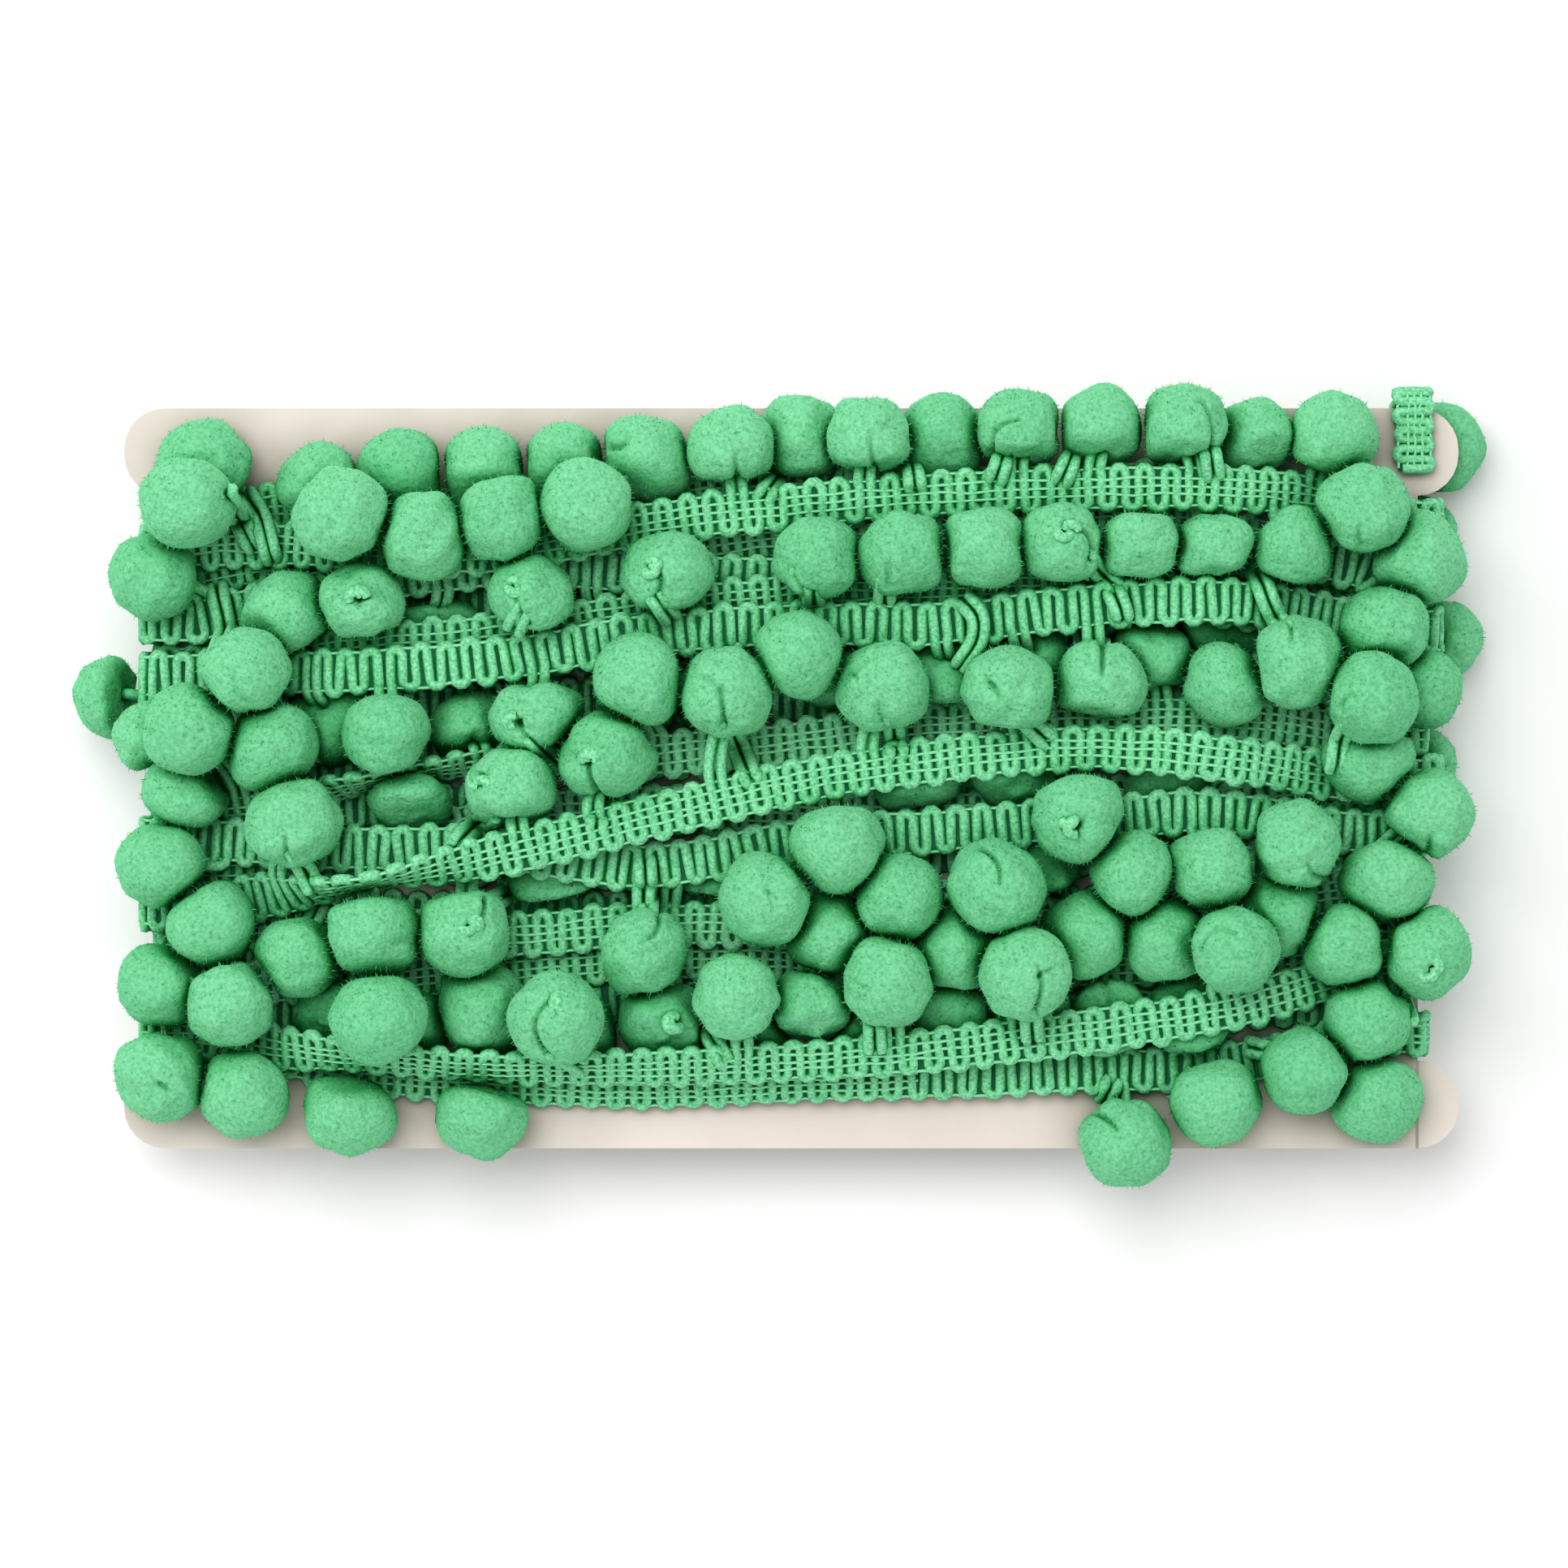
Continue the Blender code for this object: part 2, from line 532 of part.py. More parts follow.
def main():
    for old in list(bpy.data.objects):
        bpy.data.objects.remove(old)
    felt = finish("green_felt", GREEN, 0.95)
    card_stock = finish("white_card", CARD_WHITE, 0.7)
    make_card(card_stock)

    fronts = front_braids()
    backs, back_starts = back_braids()
    tail = tail_braid()
    braids = fronts + backs + [tail]
    random = np.random.default_rng(7)

    balls = np.array([(x, y, CARD_TOP + h) for turn in FRONT for x, y, h in turn.poms], float)
    owners = [braid for turn, braid in zip(FRONT, fronts) for _ in turn.poms]
    radii = POM_RADIUS * (1 + POM_VARIATION * (2 * random.random(len(balls)) - 1))
    past_end = (abs(balls[:, 0]) > FAR_OUT) & (balls[:, 2] < CARD_TOP + 4)
    radii[past_end] *= END_POM_SHARE
    balls = settle(balls, radii, braids, over_card)

    others = [p for row in back_starts for p in row] + [TAIL_POM]
    owners += [b for b, row in zip(backs, back_starts) for _ in row] + [tail]
    balls = np.concatenate([balls, np.array(others)])
    radii = np.concatenate([radii, np.full(len(others), POM_RADIUS)])

    stretches = np.concatenate([b.stretches() for b in braids])
    middles = stretches.mean(axis=1)
    counts = {b.name: 0 for b in braids}
    roots, holes, lies = [], [], []
    for ball, braid in zip(balls, owners):
        k = braid.roots[counts[braid.name]]
        counts[braid.name] += 1
        place, side = braid.root(k, ball)
        roots.append(place)
        holes.append((k, side))
        lies.append(braid.along[k])
    corners = np.array([(-CARD_LENGTH / 2, -CARD_WIDTH / 2, CARD_UNDERSIDE),
                        (CARD_LENGTH / 2, CARD_WIDTH / 2, CARD_TOP)])
    shaped = {b.name: {} for b in braids}
    for i, braid in enumerate(owners):
        planes = pressing_planes(i, balls, radii, roots, stretches, middles, corners)
        angles = FINE_RINGS if balls[i][2] > CARD_TOP + 11 else PLAIN_RINGS
        shaped[braid.name][holes[i]] = ball_rings(balls[i], roots[i], lies[i], radii[i], planes, angles)
    for braid in braids:
        make_braid(braid, shaped[braid.name], felt)


main()
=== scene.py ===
"""Pompom fringe trim wound on its card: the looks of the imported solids."""
import math
from collections import namedtuple

import bpy
import numpy as np
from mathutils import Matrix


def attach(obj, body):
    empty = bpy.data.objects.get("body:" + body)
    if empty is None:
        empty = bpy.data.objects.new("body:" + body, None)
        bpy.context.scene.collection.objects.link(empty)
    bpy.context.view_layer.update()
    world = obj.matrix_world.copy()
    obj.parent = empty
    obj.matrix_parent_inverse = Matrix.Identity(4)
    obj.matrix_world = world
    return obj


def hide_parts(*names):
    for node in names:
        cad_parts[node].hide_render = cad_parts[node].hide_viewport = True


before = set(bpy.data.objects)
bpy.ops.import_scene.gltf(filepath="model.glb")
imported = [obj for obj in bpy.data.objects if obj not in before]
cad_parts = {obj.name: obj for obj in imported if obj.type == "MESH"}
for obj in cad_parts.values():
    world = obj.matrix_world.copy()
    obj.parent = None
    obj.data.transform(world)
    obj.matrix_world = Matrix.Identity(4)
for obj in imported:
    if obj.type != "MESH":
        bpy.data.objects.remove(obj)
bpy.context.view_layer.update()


# The card: off-white board of about a millimetre, die-cut with an ear at each corner and recessed ends
# that hold the winding. It keeps its solid. Its face has the faint mottle of paper pulp, with painted
# shade, tinted green, where the winding shuts it in. A score line is pressed across the lower right
# ear, shown by a line of painted shade.
MM = 0.001
CARD_LENGTH = 229.0
CARD_WIDTH = 127.0
CARD_THICKNESS = 1.2
RECESS_DEPTH = 7.0
CARD_UNDERSIDE = 15.5
CARD_PLACE = np.array((1.6, 0.8, 0.0))
CARD_TOP = CARD_UNDERSIDE + CARD_THICKNESS
CARD_MIDDLE = CARD_UNDERSIDE + CARD_THICKNESS / 2
CARD_END = CARD_LENGTH / 2 - RECESS_DEPTH
BOARD_LIGHT = (0.80, 0.705, 0.645)
BOARD_DARK = (0.72, 0.630, 0.572)
SCORE_PLACE = 109.0
SCORE_FROM = -47.0
SCORE_HALF_WIDTH = 0.28
SCORE_GROOVE_SHADE = (0.40, 0.355, 0.30)

def new_material(name, roughness):
    """A material with its node tree and its shader."""
    made = bpy.data.materials.new(name)
    made.use_nodes = True
    shader = made.node_tree.nodes["Principled BSDF"]
    shader.inputs["Roughness"].default_value = roughness
    shader.inputs["Specular IOR Level"].default_value = 0.25
    return made, made.node_tree, shader

def speckle(tree, size_mm, detail=2.0, rough=0.5):
    """Noise on the piece's own coordinates, with spots of about the given size."""
    place = tree.nodes.new("ShaderNodeTexCoord")
    noise = tree.nodes.new("ShaderNodeTexNoise")
    noise.inputs["Scale"].default_value = 1000.0 / size_mm
    noise.inputs["Detail"].default_value = detail
    noise.inputs["Roughness"].default_value = rough
    tree.links.new(place.outputs["Object"], noise.inputs["Vector"])
    return noise.outputs["Fac"]

def shift(tree, value, low, high, first, second, way="MIX"):
    """Goes from the first colour where the value is low to the second where it is high, or with
    MULTIPLY to the first times the second. The first may be another node's colour."""
    spread = tree.nodes.new("ShaderNodeMapRange")
    spread.inputs["From Min"].default_value = low
    spread.inputs["From Max"].default_value = high
    mix = tree.nodes.new("ShaderNodeMix")
    mix.data_type = "RGBA"
    mix.blend_type = way
    mix.inputs["B"].default_value = (*second, 1)
    if isinstance(first, tuple):
        mix.inputs["A"].default_value = (*first, 1)
    else:
        tree.links.new(first, mix.inputs["A"])
    tree.links.new(value, spread.inputs["Value"])
    tree.links.new(spread.outputs["Result"], mix.inputs["Factor"])
    return mix.outputs["Result"]

def reckon(tree, operation, *values):
    """A sum worked out by a node. Each value is a number or another node's output."""
    node = tree.nodes.new("ShaderNodeMath")
    node.operation = operation
    for socket, value in zip(node.inputs, values):
        if isinstance(value, float):
            socket.default_value = value
        else:
            tree.links.new(value, socket)
    return node.outputs["Value"]

def bumped(tree, shader, value, depth_mm, strength=1.0):
    """Raises the surface by a value, on top of what already raises it."""
    bump = tree.nodes.new("ShaderNodeBump")
    bump.inputs["Distance"].default_value = depth_mm * MM
    bump.inputs["Strength"].default_value = strength
    before = shader.inputs["Normal"].links
    if before:
        tree.links.new(before[0].from_socket, bump.inputs["Normal"])
    tree.links.new(value, bump.inputs["Height"])
    tree.links.new(bump.outputs["Normal"], shader.inputs["Normal"])

def deep(tree, colour, reach_mm, steps):
    """Painted shade: darkens the colour where the surface is shut in by what is within reach of it, as
    shade falls there. Each step multiplies it by a tint, wholly at its lower openness and not at all
    at its higher."""
    shut = tree.nodes.new("ShaderNodeAmbientOcclusion")
    shut.samples = 6
    shut.inputs["Distance"].default_value = reach_mm * MM
    for low, high, tint in steps:
        colour = shift(tree, shut.outputs["AO"], high, low, colour, tint, "MULTIPLY")
    return colour


paperboard, tree, shader = new_material("paperboard", 0.72)
colour = shift(tree, speckle(tree, 30.0, 4.0), 0.35, 0.65, BOARD_LIGHT, BOARD_DARK)
# Painted shade: the board darkens and turns green where the pompoms and braids shut it in, as shade
# and green light from them fall there.
colour = deep(tree, colour, 9.0, ((0.25, 0.90, (0.40, 0.44, 0.37)), (0.06, 0.40, (0.06, 0.34, 0.17))))
bumped(tree, shader, speckle(tree, 0.6, 4.0), 0.05, 0.5)
bumped(tree, shader, speckle(tree, 14.0, 2.0), 0.8, 0.4)
# Painted shade: a brown line along the score stands in for the shade in its pressed groove.
place = tree.nodes.new("ShaderNodeTexCoord")
parts = tree.nodes.new("ShaderNodeSeparateXYZ")
tree.links.new(place.outputs["Object"], parts.inputs["Vector"])
near = reckon(tree, "COMPARE", parts.outputs["X"], SCORE_PLACE * MM, SCORE_HALF_WIDTH * MM)
below = reckon(tree, "LESS_THAN", parts.outputs["Y"], SCORE_FROM * MM)
colour = shift(tree, reckon(tree, "MULTIPLY", near, below), 0.0, 1.0, colour, SCORE_GROOVE_SHADE)
tree.links.new(colour, shader.inputs["Base Color"])
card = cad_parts["card"]
card.data.materials.clear()
card.data.materials.append(paperboard)


# The winding: a cotton gimp braid goes round and round the card's ends, one length after another
# across the front and the back, each over the ones before. These tables say where each length
# lies and where its pompoms are, and it is held by its own tension and a tail over the top edge.
BRAID_WIDTH = 8.8
BRAID_THICKNESS = 1.8
LOOP_WIDTH = 2.8
ROOT_SPACING = 6.0
FAR_OUT = 106.0
GAP = 0.3
END_RISE = (1.5, 4.0)
END_OUT = (1.3, 3.6)
END_UNDER = (1.2, 3.5)
WRAP_IN = 6.0
WRAP_STEPS = 3
TUCK = 14.0
FALL_FROM = 70.0
FALL_TO = 98.0

# The places along the card where a front braid's course, tilt and rise are given.
STATIONS = (-95, -75, -50, -25, 0, 25, 50, 75, 95)
RISE_PLACES = (-75, 0, 75)
LEVEL = (0, 0, 0, 0, 0, 0, 0, 0, 0)

Turn = namedtuple("Turn", "name layer side rise left right course tilt poms")

# One row for each length of braid across the front: its layer round the card's ends, the side
# that its pompoms hang on (1 up the card, -1 down), its rise above the card at the left, middle
# and right, its place at the card's ends, its course up the card and its tilt in degrees at each
# station, and its pompoms, each with its place and its height above the card.
FRONT = (
    Turn("turn_01", 0, 1, (1.6, 1.6, 1.6), 43.9, 43.5,
         (45.6, 46.4, 45, 47, 49, 50, 50, 51, 45.6), LEVEL,
         ((-78, 49, 6.5), (-65, 51, 6), (-54, 51, 6), (-40, 53, 6), (1, 57, 6), (26, 57, 6),
          (79, 57, 6))),
    Turn("turn_02", 0, 1, (3.6, 4.4, 4.4), 34.7, 34.3,
         (36.3, 37, 37, 38, 41, 42, 43, 41.8, 36), LEVEL,
         ((-25, 54, 8), (19, 38, 10.5), (60, 40, 8.5), (71, 39, 7.5))),
    Turn("turn_03", 1, -1, (6.2, 7, 7), 27, 34.5,
         (28.3, 33, 36, 35, 34, 36, 37, 38, 36.6), LEVEL,
         ((-108, 34.5, 6), (-84, 25, 6), (-61, 26, 5.5), (-32, 29, 5.5), (-10, 30, 5.5),
          (104.5, 36, 9))),
    Turn("turn_04", 1, 1, (11.5, 12, 12.5), 39.5, 43.8,
         (39.9, 39, 38.5, 43, 46, 48, 49, 49, 46.4), LEVEL,
         ((-100, 52, 9), (-101, 47, 15), (-76, 45, 15.5), (-62, 41, 15), (-49, 44, 15.5),
          (-35, 46, 15.5), (-9, 56, 10), (13, 57, 10.5), (38, 58, 10.5), (53, 58, 10.5),
          (68, 58.5, 10), (82, 41, 8.5), (90, 58, 7), (97, 44.5, 13), (109, 43, -9.5))),
    Turn("turn_05", 0, 1, (9.6, 9.6, 9.6), 19, 25.1,
         (19.5, 22, 24, 28, 31, 32, 32.5, 29.5, 26), LEVEL,
         ((-73, 30.5, 12.5), (-44, 32, 12.5), (-21, 35, 12.5), (4, 39, 12.5), (33, 39, 12.5),
          (46.5, 41, 12.5))),
    Turn("turn_06", 1, -1, (13, 13, 13), 17.5, 25.3,
         (18, 18, 20, 24, 26, 26, 29, 30, 26.8), LEVEL,
         ((-115, 14, -1), (-108, 6.5, 1), (-92, 16.5, 16), (-80, 9, 5.5), (-69, 8, 13.5),
          (-43.5, 13, 13), (-26, 16, 12.5), (-12, 11, 5.5), (1, 21, 16), (27, 17, 8), (40, 18, 5.5),
          (52, 16, 13.5), (84, 19, 15), (106, 17.5, 5), (113.5, 24, -9))),
    Turn("turn_07", 0, -1, (2, 2, 2), -16.2, -2,
         (-16.4, -13, -7, -5, -6, -6, -6, -5, -3), LEVEL,
         ((-66, -6, 6.5), (-40, -19, 5.5), (-12, -17, 5), (23, -4, 6), (37, -4, 6),
          (44, -17, 5.5), (64, -3, 6))),
    Turn("turn_08", 0, 1, (8, 6.4, 6.4), -7, 8,
         (-6.6, -1, 3, 4, 6, 9, 10, 10, 8), (0, 70, 50, 10, 0, 0, 0, 0, 0),
         ((-104, 1, 8), (-100, 6.5, 12), (-87, 7.5, 11), (-54, 6.5, 5.5), (-21, 8, 6), (10, 12, 6),
          (64, 20, 8), (73, 18, 6.5), (76, 26, 7), (102, 25, 11), (98, 5, 6))),
    Turn("turn_09", 1, -1, (9.4, 9.4, 9.4), -10.6, -9.4,
         (-11, -12, -12, -15, -11, -9, -7, -6, -9.2), LEVEL,
         ((-104, -18, 8), (-71, -25.5, 13), (-55.5, -25.5, 13), (-25, -29, 13), (8, -12, 15.5),
          (33.5, -20, 14.5), (48.5, -7, 15), (71, -15, 12.5), (85, -12, 13), (106.5, -8, 9))),
    Turn("turn_10", 1, 1, (16.4, 14.6, 14.6), -22, -0.1,
         (-21, -18, -13, -7, -1, 3, 5, 3, 0), (0, 75, 20, 0, 0, 0, 0, 0, 0),
         ((-104, -25, 7.5), (-84, -7, 16), (-47, -2, 15), (-31.5, 4.5, 15), (-11, 14.5, 15),
          (15, 15.5, 15.5), (37, 15.5, 15), (98, 13, 14.5), (109, 2.5, -9))),
    Turn("turn_11", 0, 1, (4.6, 4.6, 4.6), -25.4, -18,
         (-25.5, -26, -27, -25, -25, -24, -24, -22, -19), LEVEL,
         ((-83, -30.5, 10), (-3, -21, 12.5), (4, -28, 9), (18, -21, 13),
          (29, -30, 8), (50, -25, 8), (56, -17, 12.5), (64, -28, 7.5), (85, -23, 8), (95, -25, 6.5),
          (101, -18, 9))),
    Turn("turn_12", 0, -1, (1.8, 1.8, 1.8), -34.6, -27.6,
         (-34.9, -34.5, -33, -31, -31, -32, -32, -31, -29), LEVEL,
         ((-104, -33, 7), (-82, -41, 6), (-68, -42, 5), (-54, -39.5, 6.5), (-38, -43, 5),
          (-22, -42, 8), (-5, -45, 5), (4, -41, 6.5), (17, -45, 5), (28, -39, 7), (36, -43, 5),
          (52, -37, 6.5), (68, -38, 5))),
    Turn("turn_13", 1, 1, (10.4, 10, 9.4), -43.8, -32,
         (-45, -47, -49, -49, -48, -46, -43, -39, -33.5), (0, 45, 50, 40, 30, 15, 0, 0, 0),
         ((-95, -38, 13), (-68.5, -41, 13), (-39, -41, 12), (-9, -37.5, 14), (16, -35, 14),
          (39.5, -32, 13), (74, -29, 16.5), (106.5, -29, 9))),
    Turn("turn_14", 0, -1, (1.6, 4, 1.6), -43.8, -43.8,
         (-45, -50, -52, -53, -52, -51, -50, -49, -45), (0, 0, 20, 30, 30, 20, 0, 0, 0),
         ((-107, -50, 7), (-93, -52, 6), (-75, -54.5, 6), (-53, -57, 6), (57, -62, 6),
          (72, -55, 5.5), (87.5, -50, 9), (97, -39, 5), (99, -54, 5.5))),
)
BackTurn = namedtuple("BackTurn", "name layer side left right first")

# One row for each length of braid across the back, which is finished plainly: its layer, the side
# of its pompoms, its ends, and where its first pompom lies. The others follow at the trim's pitch.
BACK = (
    BackTurn("back_01", 1, 1, 43.8, 43.8, -88),
    BackTurn("back_02", 1, 1, 27, 34.5, -75),
    BackTurn("back_03", 1, 1, 17.5, 25.3, -88),
    BackTurn("back_04", 0, 1, -7, 8, -75),
    BackTurn("back_05", 1, 1, -10.6, -0.1, -88),
    BackTurn("back_06", 1, 1, -22, -9.4, -75),
    BackTurn("back_07", 0, 1, -34.6, -27.6, -88),
    BackTurn("back_08", 1, -1, -43.8, -32, -75),
)
BACK_WIDTH = 7.0
BACK_POM_OUT = 6.4
BACK_POM_HEIGHT = 5.6
POM_PITCH = 25.4
TAIL_X = 106.6
TAIL_FOOT = 51.8
TAIL_WIDTH = 7.4
TAIL_POM = (112.5, 57.5, 7.6)

def smooth(x, known, values):
    """The value at x of a curve that passes smoothly through the known values."""
    slopes = np.gradient(np.array(values, float), np.array(known, float))
    i = int(np.clip(np.searchsorted(known, x) - 1, 0, len(known) - 2))
    span = known[i + 1] - known[i]
    t = (x - known[i]) / span
    rising = t * t * (3 - 2 * t)
    bend = span * (t * (1 - t) ** 2 * slopes[i] - t * t * (1 - t) * slopes[i + 1])
    return values[i] * (1 - rising) + values[i + 1] * rising + bend

def round_the_end(end, layer, y, steps):
    """Points round one end of the card, from over it to under it. end is -1 or 1."""
    inner = CARD_END - WRAP_IN
    out = WRAP_IN + END_OUT[layer]
    rise = END_RISE[layer] + CARD_THICKNESS / 2
    drop = END_UNDER[layer] + CARD_THICKNESS / 2
    quarter = [math.radians(90 * i / steps) for i in range(steps + 1)]
    over = [(inner + out * math.sqrt(math.sin(a)), CARD_MIDDLE + rise * math.sqrt(math.cos(a)))
            for a in quarter[:-1]]
    under = [(inner + out * math.sqrt(math.cos(a)), CARD_MIDDLE - drop * math.sqrt(math.sin(a)))
             for a in quarter]
    under.append((CARD_END - TUCK, CARD_MIDDLE - drop))
    return [(end * x, y, z) for x, z in over + under]

def rise_at(turn, x):
    """How far a front braid is above the card: less and less towards the card's ends."""
    full = smooth(float(np.clip(x, RISE_PLACES[0], RISE_PLACES[-1])), RISE_PLACES, turn.rise)
    t = float(np.clip((FALL_TO - abs(x)) / (FALL_TO - FALL_FROM), 0, 1))
    share = t * t * (3 - 2 * t)
    return END_RISE[turn.layer] * (1 - share) + full * share

def front_route(turn, xs, steps=WRAP_STEPS):
    """The middle line and the tilt of a front braid through the given places along the card."""
    known = (WRAP_IN - CARD_END,) + STATIONS + (CARD_END - WRAP_IN,)
    course = (turn.left,) + turn.course + (turn.right,)
    tilt = (0,) + turn.tilt + (0,)
    left = round_the_end(-1, turn.layer, turn.left, steps)[::-1]
    right = round_the_end(1, turn.layer, turn.right, steps)
    middle = [(x, smooth(x, known, course), CARD_TOP + rise_at(turn, x)) for x in xs]
    tilts = [0] * len(left) + [smooth(x, known, tilt) for x in xs] + [0] * len(right)
    return np.array(left + middle + right), np.radians(tilts)

class Braid:
    """A length of braid: its route, its directions and the corners of its sections."""

    def __init__(self, name, route, side, tilts=None, width=BRAID_WIDTH, across=(0, 1, 0)):
        self.name, self.route, self.width = name, route, width
        self.along = np.gradient(route, axis=0)
        self.along /= np.linalg.norm(self.along, axis=1)[:, None]
        flat = np.array(across) - self.along * (self.along @ across)[:, None]
        flat /= np.linalg.norm(flat, axis=1)[:, None]
        up = np.cross(self.along, flat)
        tilts = np.zeros(len(route)) if tilts is None else tilts
        self.edge = side * (flat * np.cos(tilts)[:, None] + up * np.sin(tilts)[:, None])
        self.face = np.cross(self.along, self.edge)
        half, thick = self.edge * width / 2, self.face * BRAID_THICKNESS / 2
        self.rings = np.stack([route + half + thick, route + half - thick,
                               route - half - thick, route - half + thick], axis=1)
        self.roots = []

    def stretches(self):
        """The corners of each stretch, one row of eight for each."""
        return np.concatenate([self.rings[:-1], self.rings[1:]], axis=1)

    def root(self, k, ball):
        """Where a loop leaves stretch k: the place, and which of the stretch's sides it is on."""
        away = (ball - self.route[k]) @ self.edge[k]
        side = 2 if away < -self.width / 2 - 1 else 0
        return self.rings[k:k + 2, side:side + 2].mean(axis=(0, 1)), side

def with_roots(xs, roots):
    """The places of a braid's sections: two close ones for each loop, and others between them."""
    kept = [x for x in xs if all(abs(x - r) > LOOP_WIDTH * 1.6 for r in roots)]
    pairs = [r + s * LOOP_WIDTH / 2 for r in roots for s in (-1, 1)]
    return sorted(kept + pairs)

def spread_out(places, least, limit):
    """The places, moved so that neighbours are at least that far apart and none passes the limit."""
    order = np.argsort(places, kind="stable")
    moved = np.array(places, float)[order]
    for _ in range(200):
        moved = np.clip(moved, -limit, limit)
        for a in range(len(moved) - 1):
            short = least - (moved[a + 1] - moved[a])
            if short > 0:
                moved[a] -= short / 2
                moved[a + 1] += short / 2
    result = np.empty(len(places))
    result[order] = moved
    return [float(x) for x in result]

def front_braids():
    """The front braids, with the stretch that each pompom's loop leaves."""
    made = []
    for turn in FRONT:
        limit = CARD_END - WRAP_IN - 2.6
        grid = {*STATIONS, -85, 85}
        if turn.tilt != LEVEL:
            grid |= {-62.5, -37.5}
        wanted = [pom[0] for pom in turn.poms]
        inside = [i for i, (x, _, h) in enumerate(turn.poms) if abs(x) < FAR_OUT or h > 4]
        roots = spread_out([wanted[i] for i in inside], ROOT_SPACING, limit)
        route, tilts = front_route(turn, with_roots(grid, roots))
        braid = Braid(turn.name, route, turn.side, tilts)
        middles = (braid.route[:-1] + braid.route[1:]) / 2
        not_front = (middles[:, 2] < CARD_TOP) | (abs(middles[:, 0]) > limit + 2)
        braid.roots = [0] * len(wanted)
        for i, r in zip(inside, roots):
            braid.roots[i] = int(np.argmin(np.abs(middles[:, 0] - r) + 1000 * not_front))
        # A pompom past the end of the card hangs from the nearest stretch that is still free there.
        for i in set(range(len(wanted))) - set(inside):
            x, y, h = turn.poms[i]
            away = np.linalg.norm(middles - (x, y, CARD_TOP + h), axis=1)
            away[braid.roots] = 1000
            away[abs(middles[:, 0]) < CARD_END] = 1000
            braid.roots[i] = int(np.argmin(away))
        made.append(braid)
    return made

def back_braids():
    """The back braids, and where each of their pompoms starts."""
    made, starts = [], []
    for turn in BACK:
        z = CARD_UNDERSIDE - END_UNDER[turn.layer]
        limit = CARD_END - TUCK - GAP
        roots = list(np.arange(turn.first, limit - LOOP_WIDTH, POM_PITCH))
        xs = with_roots([-limit, limit], roots)
        slope = (turn.right - turn.left) / (2 * limit)
        middle = (turn.right + turn.left) / 2
        route = np.array([(x, middle + slope * x, z) for x in xs])
        braid = Braid(turn.name, route, turn.side, width=BACK_WIDTH)
        middles = (route[:-1, 0] + route[1:, 0]) / 2
        braid.roots = [int(np.argmin(np.abs(middles - r))) for r in roots]
        starts.append([(r, middle + slope * r + turn.side * BACK_POM_OUT, BACK_POM_HEIGHT)
                       for r in roots])
        made.append(braid)
    return made, starts

def tail_braid():
    """The start of the trim, hooked over the card's top edge from front to back."""
    top = CARD_WIDTH / 2
    depth = CARD_THICKNESS / 2 + BRAID_THICKNESS / 2 + GAP + 0.6
    arc = [(top + 3.0 * math.cos(a), CARD_MIDDLE + depth * math.sin(a))
           for a in (math.radians(d) for d in (90, 60, 30, 0, -30, -60, -90))]
    front = [(TAIL_FOOT, CARD_MIDDLE + depth), (57.5, CARD_MIDDLE + depth)]
    behind = [(60, CARD_MIDDLE - depth), (57, CARD_MIDDLE - depth), (TAIL_FOOT, CARD_MIDDLE - depth)]
    route = np.array([(TAIL_X, y, z) for y, z in front + arc + behind])
    braid = Braid("trim_tail", route, 1, width=TAIL_WIDTH, across=(1, 0, 0))
    braid.roots = [len(route) - 3]
    return braid

fronts = front_braids()
backs, back_starts = back_braids()
tail = tail_braid()
braids = fronts + backs + [tail]
front_names = [turn.name for turn in FRONT]
back_names = [turn.name for turn in BACK]
behind_names = back_names + ["trim_tail"]


# Where the pompoms come to rest: soft balls of about fifteen millimetres, each on the two cords of
# its loop, pushed apart by their neighbours and flattened by whatever they meet, as the solids are.
POM_RADIUS = 7.9
POM_VARIATION = 0.05
END_POM_SHARE = 0.84
LOOP_RADIUS = 1.5
POM_SPACING = 0.87
POM_TO_BRAID = 5.6
SETTLE_ROUNDS = 160

def unit(v):
    """The vector with length 1."""
    return v / np.linalg.norm(v)

def nearest_on_stretches(point, corners):
    """The point of each stretch's middle surface that is nearest to the given point."""
    start = corners[:, 2:4].mean(axis=1)
    across = corners[:, :2].mean(axis=1) - start
    along = corners[:, 4:].mean(axis=1) - corners[:, :4].mean(axis=1)
    offset = point - start
    a = np.clip((offset * along).sum(axis=1) / (along * along).sum(axis=1), 0, 1)[:, None]
    offset = offset - along * a
    c = np.clip((offset * across).sum(axis=1) / (across * across).sum(axis=1), 0, 1)[:, None]
    return start + along * a + across * c

